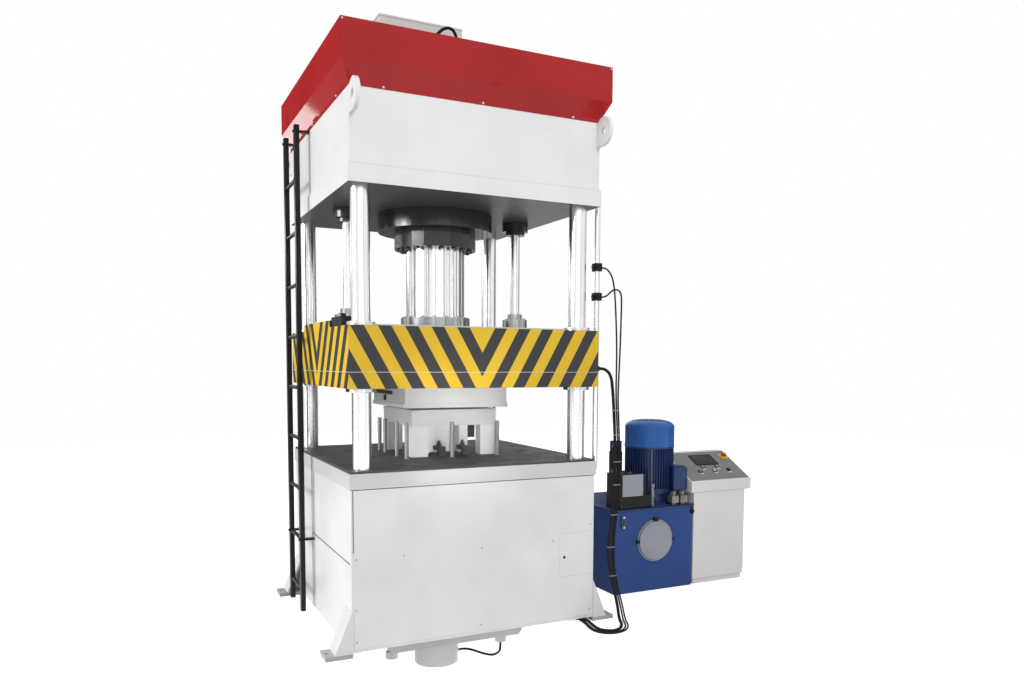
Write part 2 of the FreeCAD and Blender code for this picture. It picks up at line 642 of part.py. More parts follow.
def make_ram():
    chamfer = "ram_radius - 8"
    node(turned("ram_body", [("0", PAD_TOP), ("ram_radius", PAD_TOP),
                             ("ram_radius", "ram_top - 8"), (chamfer, "ram_top"),
                             ("0", "ram_top")]), "ram")
    blank = post("clamp_blank", "clamp_radius", (PAD_TOP, f"{PAD_TOP} + clamp_height"))
    bore = post("clamp_bore", "ram_radius + fit_gap",
                (f"{PAD_TOP} - 1", f"{PAD_TOP} + clamp_height + 1"))
    circle = "(clamp_radius + ram_radius) / 2 + 1"

    def bolt(number, angle):
        x, y = around(circle, angle)
        return hexagon(f"clamp_bolt_{number}", "clamp_bolt_radius",
                       (f"{PAD_TOP} + clamp_height", f"{PAD_TOP} + clamp_height + clamp_bolt_head"),
                       x, y)

    bolts = ring_of("clamp_bolts", bolt)
    node(joined("clamp_bolted", less("clamp_bored", blank, bore), *bolts), "ram_clamp_ring")


def make_return_cylinders():
    bodies = []
    rods = []
    for name, side in (("left", -1), ("right", 1)):
        place = f"{side} * return_x"
        bore = "return_rod_radius + fit_gap"
        bodies.append(turned(f"return_body_{name}", [
            (bore, "return_base - return_nose"), ("return_nose_radius", "return_base - return_nose"),
            ("return_nose_radius", "return_base"), ("return_radius", "return_base"),
            ("return_radius", "return_top"), ("0", "return_top"),
            ("0", "return_top - return_nose"), (bore, "return_top - return_nose")], place))
        flange_top = f"{PAD_TOP} + return_flange"
        neck_top = f"{flange_top} + return_neck"
        rods.append(turned(f"return_rod_{name}", [
            ("0", PAD_TOP), ("return_flange_radius", PAD_TOP),
            ("return_flange_radius", flange_top), ("return_neck_radius", flange_top),
            ("return_neck_radius", neck_top), ("return_rod_radius", neck_top),
            ("return_rod_radius", "return_rod_top"), ("0", "return_rod_top")], place))
    node(group("return_bodies", *bodies), "return_cylinders")
    node(group("return_rod_pair", *rods), "return_rods")


# ---------------------------------------------------------------- slide

def make_slide():
    top = "slide_base + slide_height"
    half_x = "slide_width / 2"
    half_y = "slide_depth / 2"
    box = block("slide_box", both(half_x), both(half_y), ("slide_base", top))
    pad = block("slide_pad", both("pad_width / 2"), both("pad_depth / 2"), (top, PAD_TOP))
    inside = ("slide_base + slide_floor", f"{top} - slide_roof")
    cavity = block("slide_cavity", both(f"{half_x} - slide_wall"),
                   both(f"{half_y} - slide_wall"), inside)
    through = ("slide_base - 1", f"{top} + 1")
    bush = "column_radius + fit_gap + bush_wall"
    sleeves = at_columns(lambda name, x, y: post(
        f"slide_sleeve_{name}", f"{bush} + sleeve_wall", inside, x, y))
    bores = at_columns(lambda name, x, y: post(f"slide_bore_{name}", bush, through, x, y))
    sleeves.append(post("slide_boss_main", "slide_boss", inside))
    for name, side in (("left", -1), ("right", 1)):
        sleeves.append(post(f"slide_boss_{name}", "return_flange_radius", inside,
                            f"{side} * return_x"))
    webs = [block("slide_web_across", both(half_x), both("slide_web / 2"), inside),
            block("slide_web_along", both("slide_web / 2"), both(half_y), inside)]
    blank = joined("slide_blank", box, pad)
    node(weldment("slide_weldment", blank, cavity, sleeves, webs, bores), "slide_frame")

    def guide(name, x, y):
        low = "slide_base - bush_collar_height"
        high = f"{top} + bush_collar_height"
        bore = "column_radius + fit_gap"
        return turned(f"guide_bush_{name}", [
            (bore, low), ("bush_collar", low), ("bush_collar", "slide_base"),
            (bush, "slide_base"), (bush, top), ("bush_collar", top),
            ("bush_collar", high), (bore, high)], x, y)

    node(group("guides", *at_columns(guide)), "guide_bushes")
    node(block("oiler_box", ("oiler_left", "oiler_right"), ("oiler_front", "oiler_back"),
               (top, f"{top} + oiler_height")), "lubricator")
    node(bar("slide_gland_body", "slide_gland_radius", "slide_gland_reach", half_x,
             "slide_gland_y", "slide_gland_z", (1, 0, 0)), "slide_cable_gland")


# ---------------------------------------------------------------- tooling

def make_dies():
    base = "lower_die_top + die_gap"
    lip_top = f"{base} + upper_die_lip"
    lip = rounded_block("upper_die_lip_plate", about("die_x", "upper_die_width"),
                        about("die_y", "upper_die_depth"), (base, lip_top), "upper_die_corner")
    body = rounded_block("upper_die_body", about("die_x", "upper_die_width", "upper_die_inset"),
                         about("die_y", "upper_die_depth", "upper_die_inset"),
                         (lip_top, "slide_base"), "upper_die_corner - upper_die_inset")
    node(joined("upper_die_casting", lip, body), "upper_die")
    cap_base = "lower_die_top - lower_die_cap"
    block_base = f"{cap_base} - lower_die_block"
    span_x = about("die_x", "lower_die_width")
    span_y = about("die_y", "lower_die_depth")
    node(block("lower_die_cap_plate", span_x, span_y, (cap_base, "lower_die_top")),
         "lower_die_plate")
    node(block("lower_die_body", about("die_x", "lower_die_width", "2"),
               about("die_y", "lower_die_depth", "2"), (block_base, cap_base)),
         "lower_die_block")
    standing = ("bed_top", block_base)
    posts = []
    for name, side, end in CORNERS:
        x = f"die_x + {side} * (lower_die_width / 2 - die_post_inset - die_post_width / 2)"
        y = f"die_y + {end} * (lower_die_depth / 2 - die_post_inset - die_post_depth / 2)"
        posts.append(block(f"die_post_{name}", about(x, "die_post_width"),
                           about(y, "die_post_depth"), standing))
    punch = block("die_core_post", about("die_x", "core_post_width"),
                  about("die_y + 60", "core_post_depth"), standing)
    risers = [block(f"die_riser_{name}",
                    about(f"die_x + {side} * inner_post_offset", "inner_post_width"),
                    about("die_y - 40", "inner_post_depth"), standing)
              for name, side in (("left", -1), ("right", 1))]
    node(group("die_post_set", *posts, punch, *risers), "die_posts")


def make_die_clamps():
    pieces = []
    for name, side in (("left", -1), ("right", 1)):
        x = f"die_x + {side} * 84"
        front = "die_y - lower_die_depth / 2 + 10"
        back = f"{front} + die_clamp_length"
        strap_base = "bed_top + die_clamp_heel"
        heel = block(f"clamp_heel_{name}", about(x, "die_clamp_width"),
                     (front, f"{front} + die_clamp_heel"), ("bed_top", strap_base))
        strap = block(f"clamp_strap_{name}", about(x, "die_clamp_width"), (front, back),
                      (strap_base, f"{strap_base} + die_clamp_height"))
        stud_y = f"{front} + die_clamp_length / 2 + 8"
        stud = post(f"clamp_stud_{name}", "die_stud_radius",
                    ("bed_top", "bed_top + die_stud_height"), x, stud_y)
        nut_base = f"{strap_base} + die_clamp_height"
        nut = hexagon(f"clamp_nut_{name}", "die_nut_radius",
                      (nut_base, f"{nut_base} + die_nut_height"), x, stud_y)
        pieces.append(joined(f"die_clamp_{name}", heel, strap, stud, nut))
    node(group("clamp_pair", *pieces), "die_clamps")


# ---------------------------------------------------------------- cushion

def make_cushion():
    plate_base = "cushion_plate_top - cushion_plate"
    rod = post("cushion_rod_bar", "cushion_rod_radius", ("cushion_rod_base", plate_base))
    plate = block("cushion_plate_blank", both("cushion_plate_side / 2"),
                  both("cushion_plate_side / 2"), (plate_base, "cushion_plate_top"))
    node(joined("cushion_rod_and_plate", rod, plate), "cushion_rod")
    pins = [post(f"pin_{name}", "pin_radius", ("cushion_plate_top", "pin_top"), x, y)
            for name, x, y in PINS]
    node(group("pin_set", *pins), "cushion_pins")
    bore = "cushion_rod_radius + fit_gap"
    collar_base = "carrier_base + carrier_floor"
    barrel = turned("cushion_barrel", [
        ("0", "cushion_base"), ("cushion_radius", "cushion_base"),
        ("cushion_radius", collar_base), ("cushion_collar_radius", collar_base),
        ("cushion_collar_radius", f"{collar_base} + cushion_collar"),
        ("cushion_radius", f"{collar_base} + cushion_collar"),
        ("cushion_radius", "cushion_top"), (bore, "cushion_top"),
        (bore, "cushion_base + cushion_bottom"), ("0", "cushion_base + cushion_bottom")])
    port = bar("cushion_port", "cushion_port_radius", "cushion_port_reach + 10",
               "cushion_radius - 10", "0", "cushion_port_z", (1, 0, 0))
    node(joined("cushion_ported", barrel, port), "cushion_cylinder")


def make_carrier():
    slope = "(carrier_half_top - carrier_half_bottom) / (bed_base - carrier_base)"
    end = "carrier_sheet"
    outside = [("-carrier_half_bottom", "carrier_base"), ("carrier_half_bottom", "carrier_base"),
               ("carrier_half_top", "bed_base"), ("-carrier_half_top", "bed_base")]
    floor = "carrier_base + carrier_floor"
    low = f"carrier_half_bottom + {slope} * carrier_floor - {end}"
    high = f"carrier_half_top + {slope} - {end}"
    inside = [(f"-({low})", floor), (low, floor), (high, "bed_base + 1"),
              (f"-({high})", "bed_base + 1")]
    tub = extruded("carrier_outside", "XZ_Plane", outside, "2 * carrier_half_depth")
    put(tub, y="carrier_half_depth")
    hollow = extruded("carrier_inside", "XZ_Plane", inside,
                      "2 * (carrier_half_depth - carrier_sheet)")
    put(hollow, y="carrier_half_depth - carrier_sheet")
    hole = post("carrier_hole", "cushion_radius + fit_gap", ("carrier_base - 1", f"{floor} + 1"))
    bosses = [post(f"carrier_boss_{name}", "boss_radius",
                   ("carrier_base - boss_height", "carrier_base"), f"boss_{name}_x", "boss_y")
              for name in ("left", "right")]
    node(joined("carrier_bossed", less("carrier_tub", tub, hollow, hole), *bosses),
         "cushion_carrier")


# ---------------------------------------------------------------- ladder and limit switches

def make_ladder():
    x_span = ("ladder_x - stile_thickness / 2", "ladder_x + stile_thickness / 2")
    stiles = [block(f"stile_{name}", x_span, about(y, "stile_width"),
                    ("ladder_base", "ladder_top"))
              for name, y in (("front", "ladder_front"), ("back", "ladder_back"))]
    rungs = [bar(f"rung_{number}", "rung_radius", "ladder_back - ladder_front - stile_width",
                 "ladder_x", "ladder_front + stile_width / 2",
                 f"rung_first + {number} * rung_pitch", (0, 1, 0))
             for number in range(int(size_of("rung_count")))]
    brackets = []
    levels = (("low", "bracket_low", f"-({BED_HALF_X})"),
              ("high", "bracket_high", "-(crown_width / 2 - crown_step)"))
    for level, height, wall in levels:
        for name, y in (("front", "ladder_front"), ("back", "ladder_back")):
            brackets.append(block(f"bracket_{level}_{name}",
                                  ("ladder_x + stile_thickness / 2", wall),
                                  about(y, "bracket_width"),
                                  (height, f"{height} + bracket_thickness")))
    node(group("ladder_pieces", *stiles, *rungs, *brackets), "ladder")


def make_limit_switches():
    x = "switch_rod_x"
    y = "switch_rod_y"
    rod = post("switch_rod_bar", "switch_rod_radius", ("switch_rod_base", "switch_rod_top"), x, y)
    arms = []
    walls = (("low", "bed_width / 2", "switch_rod_base"),
             ("high", "crown_width / 2", "switch_rod_top - switch_rod_arm"))
    for name, wall, base in walls:
        arms.append(block(f"switch_arm_{name}", (wall, x), about(y, "switch_rod_arm"),
                          (base, f"{base} + switch_rod_arm")))
    node(joined("switch_rod_welded", rod, *arms), "limit_switch_rod")
    switches = []
    for name in ("upper", "lower"):
        height = f"switch_{name}"
        z = about(height, "switch_height")
        body = block(f"switch_body_{name}",
                     (f"{x} - switch_width / 2", f"{x} + switch_width / 2"),
                     about(y, "switch_depth"), z)
        hole = post(f"switch_hole_{name}", "switch_rod_radius", (f"{z[0]} - 1", f"{z[1]} + 1"),
                    x, y)
        nose = bar(f"switch_nose_{name}", "switch_nose_radius", "switch_nose",
                   f"{x} + switch_width / 2", y, height, (1, 0, 0))
        switches.append(joined(f"switch_{name}_ready",
                               less(f"switch_bored_{name}", body, hole), nose))
    node(group("switch_pair", *switches), "limit_switches")


def make_bed_gland():
    node(block("bed_gland_block", ("bed_gland_left", "bed_gland_right"),
               ("bed_gland_front", "bed_gland_back"), ("bed_base - bed_gland_drop", "bed_base")),
         "bed_cable_gland")


# ---------------------------------------------------------------- free hoses and cables

# heights above the cover
ROOF_HOSE = [(-207, -568, 103), (-207, -596, 103), (-198, -624, 113), (-177, -641, 127),
             (-149, -646, 132), (-122, -642, 123), (-104, -634, 101), (-97, -627, 73),
             (-95, -624, 46), (-95, -624, 18)]
# heights above the floor
SLIDE_CABLE = [(832, -750, 1640), (870, -750, 1640), (905, -751, 1620), (927, -752, 1586),
               (936, -753, 1532), (945, -755, 1430), (955, -757, 1265), (962, -759, 1080),
               (960, -762, 905), (947, -766, 750), (924, -773, 610), (905, -781, 490),
               (904, -789, 375), (920, -799, 262), (944, -811, 162), (956, -820, 90),
               (955, -832, 53), (948, -853, 25), (937, -882, 12), (920, -924, 11),
               (893, -968, 11), (857, -1007, 11), (823, -1027, 11), (788, -1030, 11),
               (756, -1018, 11), (733, -992, 11), (724, -958, 11), (727, -906, 11),
               (737, -850, 12), (744, -790, 16), (744, -730, 16)]
UPPER_LEAD = [(873, -700, 2287), (904, -700, 2287), (932, -702, 2268), (952, -705, 2236),
              (965, -708, 2190), (974, -711, 2115), (980, -716, 1990), (983, -723, 1850),
              (982, -730, 1710), (975, -738, 1575), (970, -747, 1450), (972, -755, 1330),
              (978, -759, 1200), (983, -762, 1070), (982, -765, 925), (972, -769, 790),
              (954, -774, 662), (934, -782, 540), (926, -790, 425), (932, -799, 312),
              (951, -811, 206), (970, -823, 112), (976, -837, 58), (972, -858, 25),
              (962, -885, 8), (943, -932, 6.5), (914, -982, 6.5), (873, -1024, 6.5),
              (830, -1047, 6.5), (783, -1050, 6.5), (741, -1034, 6.5), (711, -1001, 6.5),
              (700, -956, 6.5), (705, -905, 6.5), (716, -850, 8), (723, -790, 12),
              (723, -730, 12)]
LOWER_LEAD = [(873, -700, 2100), (899, -700, 2100), (922, -706, 2114), (938, -714, 2135),
              (958, -722, 2149), (982, -729, 2149), (1002, -732, 2134), (1011, -731, 2108),
              (1013, -730, 2068), (1012, -730, 1990), (1009, -731, 1870), (1004, -733, 1730),
              (995, -738, 1590), (985, -746, 1450), (986, -755, 1330), (992, -758, 1200),
              (997, -761, 1070), (996, -764, 925), (986, -768, 790), (968, -774, 662),
              (948, -782, 540), (940, -790, 425), (946, -799, 312), (965, -811, 206),
              (985, -824, 112), (991, -838, 58), (987, -861, 25), (976, -891, 8),
              (957, -941, 6.5), (926, -995, 6.5), (883, -1037, 6.5), (833, -1062, 6.5),
              (779, -1066, 6.5), (730, -1047, 6.5), (696, -1009, 6.5), (684, -957, 6.5),
              (689, -903, 6.5), (702, -850, 8), (709, -790, 12), (709, -730, 12)]
CUSHION_HOSE = [(164, 0, -345), (210, 0, -345), (254, -26, -351), (296, -84, -360),
                (326, -152, -358), (342, -220, -340), (344, -280, -304), (334, -332, -272),
                (330, -350, -236), (330, -350, -195)]


def make_cords():
    roof_hose = [(x, y, z + size_of("cover_top")) for x, y, z in ROOF_HOSE]
    cord_node("roof_hose", cord("roof hose", roof_hose, size_of("roof_hose_diameter")))
    cord_node("slide_cable", cord("slide cable", SLIDE_CABLE, size_of("slide_cable_diameter")))
    lead = size_of("switch_lead_diameter")
    cord_node("switch_leads", cord("upper switch lead", UPPER_LEAD, lead),
              cord("lower switch lead", LOWER_LEAD, lead))
    cord_node("cushion_hose", cord("cushion hose", CUSHION_HOSE,
                                   size_of("cushion_hose_diameter")))


def make_roof_box():
    box = block("roof_box_blank", ("roof_box_left", "roof_box_right"),
                ("roof_box_front", "roof_box_back"), ("cover_top", "cover_top + roof_box_height"))
    gland = bar("roof_box_gland", "roof_gland_radius", "roof_gland_reach",
                str(ROOF_HOSE[0][0]), "roof_box_front", f"cover_top + {ROOF_HOSE[0][2]}", (0, -1, 0))
    node(joined("roof_box_with_gland", box, gland), "roof_box")


# ---------------------------------------------------------------- oil tank

def make_tank():
    body = rounded_block("tank_body", ("tank_left", "tank_right"), ("tank_front", "tank_back"),
                         ("0", "tank_height - tank_lid"), "tank_corner")
    lid = block("tank_lid_plate", ("tank_left - tank_lid_overhang", "tank_right + tank_lid_overhang"),
                ("tank_front - tank_lid_overhang", "tank_back + tank_lid_overhang"),
                ("tank_height - tank_lid", "tank_height"))
    hollow = block("tank_hollow", ("tank_left + tank_sheet", "tank_right - tank_sheet"),
                   ("tank_front + tank_sheet", "tank_back - tank_sheet"),
                   ("tank_sheet", "tank_height - tank_lid"))
    node(less("tank_shell", joined("tank_blank", body, lid), hollow), "oil_tank")


def make_clean_out_cover():
    disc = turned("clean_out_disc", [
        ("0", "0"), ("clean_out_radius", "0"), ("clean_out_radius", "clean_out_rim * 0.6"),
        ("clean_out_radius - 10", "clean_out_rim"), ("0", "clean_out_rim + clean_out_crown")])
    disc.Placement = Placement(Vector(), Rotation(Vector(1, 0, 0), 90))
    put(disc, "clean_out_x", "tank_front", "clean_out_z")
    clips = []
    for name, across, rise in (("left", -1, 0), ("right", 1, 0), ("top", 0, 1)):
        reach = "clean_out_radius + clip_length / 4"
        x = f"clean_out_x + {across} * ({reach})"
        z = f"clean_out_z + {rise} * ({reach})"
        wide, tall = ("clip_length", "clip_width") if across else ("clip_width", "clip_length")
        clips.append(block(f"clip_{name}", about(x, wide), ("tank_front - clip_height", "tank_front"),
                           about(z, tall)))
    node(joined("clean_out_clipped", disc, *clips), "clean_out_cover")


def make_level_gauge():
    half = "gauge_width / 2"
    straight = "(gauge_height - gauge_width) / 2"
    plate = block("gauge_plate", about("gauge_x", "gauge_width"),
                  ("tank_front - gauge_depth", "tank_front"),
                  (f"gauge_z - {straight}", f"gauge_z + {straight}"))
    ends = [bar(f"gauge_end_{name}", half, "gauge_depth", "gauge_x", "tank_front",
                f"gauge_z + {side} * {straight}", (0, -1, 0))
            for name, side in (("low", -1), ("high", 1))]
    node(joined("gauge_oval", plate, *ends), "level_gauge")


# ---------------------------------------------------------------- motor

def make_motor():
    bore = "motor_shaft + fit_gap"
    body = doc.addObject("PartDesign::Body", "motor_casting")
    core = outline(body, "motor_core_outline", "XZ_Plane", [
        (bore, "motor_base"), ("fan_cover_radius", "motor_base"),
        ("fan_cover_radius", "motor_base + motor_foot"),
        ("motor_core", "motor_base + motor_foot"), ("motor_core", "motor_top - motor_shield"),
        ("fan_cover_radius", "motor_top - motor_shield"), ("fan_cover_radius", "motor_top"),
        (bore, "motor_top")])
    turn = body.newObject("PartDesign::Revolution", "motor_core_turn")
    turn.Profile = core
    turn.ReferenceAxis = (core, ["V_Axis"])
    turn.Angle = 360
    fin_sketch = outline(body, "motor_fin_outline", "XY_Plane", [
        ("motor_core - 4", "-motor_fin / 2"), ("motor_fin_tip", "-motor_fin / 2"),
        ("motor_fin_tip", "motor_fin / 2"), ("motor_core - 4", "motor_fin / 2")])
    bind(fin_sketch, AttachmentOffset__Base__z="motor_base + motor_foot - 2")
    fin = body.newObject("PartDesign::Pad", "motor_fin_pad")
    fin.Profile = fin_sketch
    bind(fin, Length="motor_top - motor_shield - motor_base - motor_foot + 4")
    fins = body.newObject("PartDesign::PolarPattern", "motor_fin_ring")
    fins.Originals = [fin]
    fins.Axis = (origin_plane(body, "Z_Axis"), [""])
    fins.Angle = 360
    bind(fins, Occurrences="motor_fins")
    body.Tip = fins
    put(body, "motor_x", "motor_y")
    node(body, "motor_body")


def make_bell_housing():
    base = "tank_height"
    neck_low = f"{base} + bell_flange_height"
    neck_high = "motor_base - bell_flange_height"
    node(turned("bell_casting", [
        ("bell_hollow", base), ("bell_flange", base), ("bell_flange", neck_low),
        ("bell_neck", neck_low), ("bell_neck", neck_high), ("bell_flange", neck_high),
        ("bell_flange", "motor_base"), ("bell_hollow", "motor_base")],
        "motor_x", "motor_y"), "bell_housing")


def make_fan_cover():
    rim = "fan_cover_radius"
    inside = "fan_cover_radius - fan_cover_sheet"
    bend = "fan_cover_round * 0.3"
    body = turned("fan_cover_shell", [
        (rim, "motor_top"), (rim, "fan_cover_top - fan_cover_round"),
        (f"{rim} - {bend}", f"fan_cover_top - {bend}"),
        (f"{rim} - fan_cover_round", "fan_cover_top - 4"), ("0", "fan_cover_top"),
        ("0", "fan_cover_top - fan_cover_sheet"),
        (f"{inside} - fan_cover_round", "fan_cover_top - 4 - fan_cover_sheet"),
        (f"{inside} - {bend}", f"fan_cover_top - {bend} - fan_cover_sheet"),
        (inside, "fan_cover_top - fan_cover_round"), (inside, "motor_top")])
    slot_sketch = outline(body, "grille_slot_outline", "XY_Plane", [
        ("grille_inner", "-grille_slot / 2"), ("grille_outer", "-grille_slot / 2"),
        ("grille_outer", "grille_slot / 2"), ("grille_inner", "grille_slot / 2")])
    bind(slot_sketch, AttachmentOffset__Base__z="fan_cover_top + 1")
    slot = body.newObject("PartDesign::Pocket", "grille_slot_cut")
    slot.Profile = slot_sketch
    bind(slot, Length="fan_cover_sheet * 5")
    slots = body.newObject("PartDesign::PolarPattern", "grille_slot_ring")
    slots.Originals = [slot]
    slots.Axis = (origin_plane(body, "Z_Axis"), [""])
    slots.Angle = 360
    bind(slots, Occurrences="grille_slots")
    body.Tip = slots
    put(body, "motor_x", "motor_y")
    node(body, "fan_cover")


def make_rotor():
    disc_base = "motor_top + fan_blade"
    disc_top = f"{disc_base} + fan_disc"
    shaft = turned("rotor_shaft", [
        ("0", "shaft_base"), ("coupling_radius", "shaft_base"),
        ("coupling_radius", "shaft_base + coupling_height"),
        ("motor_shaft", "shaft_base + coupling_height"), ("motor_shaft", disc_base),
        ("fan_radius", disc_base), ("fan_radius", disc_top), ("motor_shaft", disc_top),
        ("motor_shaft", f"{disc_top} + fan_blade"), ("0", f"{disc_top} + fan_blade")],
        "motor_x", "motor_y")

    def blade(number, angle):
        item = doc.addObject("Part::Box", f"fan_blade_{number}")
        item.Placement = Placement(Vector(), Rotation(Vector(0, 0, 1), angle))
        bind(item, Length="fan_radius - motor_shaft - 8", Width="fan_disc", Height="fan_blade")
        along = "(motor_shaft + 4)"
        across = "(fan_disc / 2)"
        return put(item,
                   f"motor_x + {along} * cos({angle} deg) + {across} * sin({angle} deg)",
                   f"motor_y + {along} * sin({angle} deg) - {across} * cos({angle} deg)",
                   disc_top)

    blades = ring_of("fan_blades", blade)
    hub = post("fan_hub", "motor_shaft + 10", (disc_top, f"{disc_top} + fan_blade"),
               "motor_x", "motor_y")
    node(joined("rotor_with_fan", shaft, hub, *blades), "motor_rotor")


def make_terminal_box():
    box = rounded_block("terminal_blank", ("terminal_left", "terminal_right"),
                        ("terminal_front", "terminal_back"),
                        ("terminal_base", "terminal_top"), "terminal_corner")
    ring = post("terminal_seat", "motor_fin_tip + fit_gap",
                ("terminal_base - 1", "terminal_top + 1"), "motor_x", "motor_y")
    foot = post("terminal_foot_relief", "fan_cover_radius + fit_gap",
                ("terminal_base - 1", "motor_base + motor_foot + 1"), "motor_x", "motor_y")
    node(less("terminal_seated", box, ring, foot), "terminal_box")


# ---------------------------------------------------------------- manifold, valves, filter

def make_manifold():
    base = "tank_height"
    body = block("manifold_body", ("manifold_left", "manifold_right"),
                 ("manifold_front + manifold_plate", "manifold_back"),
                 (base, f"{base} + manifold_height"))
    plate = block("manifold_cover", ("manifold_left", "manifold_plate_right"),
                  ("manifold_front", "manifold_front + manifold_plate"),
                  (base, f"{base} + manifold_height"))
    foot = block("manifold_foot", ("manifold_right", "manifold_foot_right"),
                 ("manifold_front + manifold_plate", "manifold_foot_back"),
                 (base, f"{base} + manifold_foot_height"))
    node(joined("manifold_block", body, plate, foot), "valve_manifold")
    pieces = []
    for number in range(2):
        left = f"valve_left + {number} * valve_pitch"
        seat = f"{base} + valve_post"
        column = block(f"valve_post_{number}", (f"{left} + 14", f"{left} + valve_width - 14"),
                       ("valve_front + 12", "valve_front + valve_depth - 12"), (base, seat))
        body = block(f"valve_body_{number}", (left, f"{left} + valve_width"),
                     ("valve_front", "valve_front + valve_depth"),
                     (seat, f"{seat} + valve_height"))
        cap = hexagon(f"valve_cap_{number}", "valve_cap_radius",
                      (f"{seat} + valve_height", f"{seat} + valve_height + valve_cap"),
                      f"{left} + valve_width / 2", "valve_front + valve_depth / 2")
        pieces.append(joined(f"valve_{number}", column, body, cap))
    node(group("valve_pair", *pieces), "control_valves")
    housing = post("filter_bowl", "filter_radius", (base, "filter_joint"),
                   "filter_x", "filter_y")
    cap = post("filter_cap", "filter_cap_radius", ("filter_joint", "filter_top"),
               "filter_x", "filter_y")
    node(joined("filter_capped", housing, cap), "oil_filter")


# ---------------------------------------------------------------- control desk

DESK_FRONT_TOP = "desk_base + desk_lip"


def on_slope(item, x, from_front, lift="0"):
    """Stands an object on the desk's sloping top, square to it."""
    item.Placement = Placement(Vector(), Rotation(Vector(1, 0, 0), SIZES["desk_slope"]))
    bind(item, Placement__Rotation__Angle="desk_slope * 1 deg")
    return put(item, x,
               f"cabinet_front + ({from_front}) * cos(desk_slope * 1 deg)"
               f" - ({lift}) * sin(desk_slope * 1 deg)",
               f"{DESK_FRONT_TOP} + ({from_front}) * sin(desk_slope * 1 deg)"
               f" + ({lift}) * cos(desk_slope * 1 deg)")


def sloped_post(name, radius, height, x, from_front, lift="0"):
    """A round piece that stands square on the desk's slope."""
    item = doc.addObject("Part::Cylinder", name)
    bind(item, Radius=radius, Height=height)
    return on_slope(item, x, from_front, lift)


BUTTONS = ["start_button", "raise_button", "lower_button"]


def make_control_desk():
    plinth = block("cabinet_plinth_box",
                   ("cabinet_left + cabinet_plinth_inset", "cabinet_right - cabinet_plinth_inset"),
                   ("cabinet_front + cabinet_plinth_inset", "cabinet_back - cabinet_plinth_inset"),
                   ("0", "cabinet_plinth"))
    box = block("cabinet_box", ("cabinet_left", "cabinet_right"),
                ("cabinet_front", "cabinet_back"), ("cabinet_plinth", "desk_base"))
    hollow = block("cabinet_hollow",
                   ("cabinet_left + cabinet_sheet", "cabinet_right - cabinet_sheet"),
                   ("cabinet_front + cabinet_sheet", "cabinet_back - cabinet_sheet"),
                   ("cabinet_plinth + cabinet_sheet", "desk_base - cabinet_sheet"))
    node(less("cabinet_shell", joined("cabinet_blank", plinth, box), hollow), "console_cabinet")
    rise = "desk_run * tan(desk_slope * 1 deg)"
    profile = [("cabinet_front", "desk_base"), ("cabinet_front", DESK_FRONT_TOP),
               ("cabinet_front + desk_run", f"{DESK_FRONT_TOP} + {rise}"),
               ("cabinet_back", f"{DESK_FRONT_TOP} + {rise}"), ("cabinet_back", "desk_base")]
    top = extruded("desk_body", "YZ_Plane", profile, "desk_right - desk_left")
    put(top, x="desk_left")
    sockets = []
    for number, name in enumerate(BUTTONS):
        x = f"button_first + {number} * button_pitch"
        sockets.append(sloped_post(f"{name}_socket", "button_radius + socket_gap",
                                   "socket_depth + 2", x, "button_from_front", "-socket_depth"))
    sockets.append(sloped_post("stop_socket", "stop_stem + socket_gap",
                               "socket_depth + stop_base + 2", "stop_x", "stop_from_front",
                               "-socket_depth"))
    raised = [sloped_post(f"lamp_{number}", "button_radius", "lamp_height",
                          f"lamp_first + {number} * lamp_pitch", "lamp_from_front")
              for number in range(2)]
    raised.append(sloped_post("stop_base_ring", "stop_base_radius", "stop_base", "stop_x",
                              "stop_from_front"))
    node(less("desk_socketed", joined("desk_with_lamps", top, *raised), *sockets),
         "console_desk")
    screen = doc.addObject("Part::Box", "screen_bezel")
    bind(screen, Length="screen_width", Width="screen_height", Height="screen_raise")
    on_slope(screen, "screen_x - screen_width / 2", "screen_from_front - screen_height / 2")
    node(screen, "touch_screen")
    for number, name in enumerate(BUTTONS):
        node(sloped_post(f"{name}_body", "button_radius", "button_depth + button_height",
                         f"button_first + {number} * button_pitch", "button_from_front",
                         "-button_depth"), name)
    stem = sloped_post("stop_stem_bar", "stop_stem", "stop_stem_height + button_depth",
                       "stop_x", "stop_from_front", "-button_depth")
    head = sloped_post("stop_head_disc", "stop_head_radius", "stop_head", "stop_x",
                       "stop_from_front", "stop_stem_height")
    node(joined("stop_mushroom", stem, head), "emergency_stop")


# ---------------------------------------------------------------- build, check and write

def build():
    make_bed_frame()
    make_bed_plates()
    make_front_panel()
    make_feet()
    make_columns()
    make_crown()
    make_lifting_eyes()
    make_top_cover()
    make_roof_box()
    make_main_cylinder()
    make_gland()
    make_ram()
    make_return_cylinders()
    make_slide()
    make_dies()
    make_die_clamps()
    make_cushion()
    make_carrier()
    make_ladder()
    make_limit_switches()
    make_bed_gland()
    make_tank()
    make_clean_out_cover()
    make_level_gauge()
    make_motor()
    make_bell_housing()
    make_fan_cover()
    make_rotor()
    make_terminal_box()
    make_manifold()
    make_control_desk()
    make_cords()
    doc.recompute()


def check():
    for item in doc.Objects:
        if "Invalid" in item.State or "Error" in item.State:
            raise RuntimeError(f"{item.Name} failed: {item.State}")
    for item in NODES:
        if item.Shape.isNull() or not item.Shape.isValid():
            raise RuntimeError(f"{item.Label} has no valid shape")


def write():
    os.makedirs("parts", exist_ok=True)
    for item in NODES:
        item.Shape.exportStep(os.path.join("parts", f"{item.Label}.step"))
    print(f"{len(NODES)} sub-parts written")


build()
check()
write()
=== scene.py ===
"""Looks of a four-column hydraulic press with its oil tank and control desk."""

import math

import bpy
import numpy as np
from mathutils import Matrix


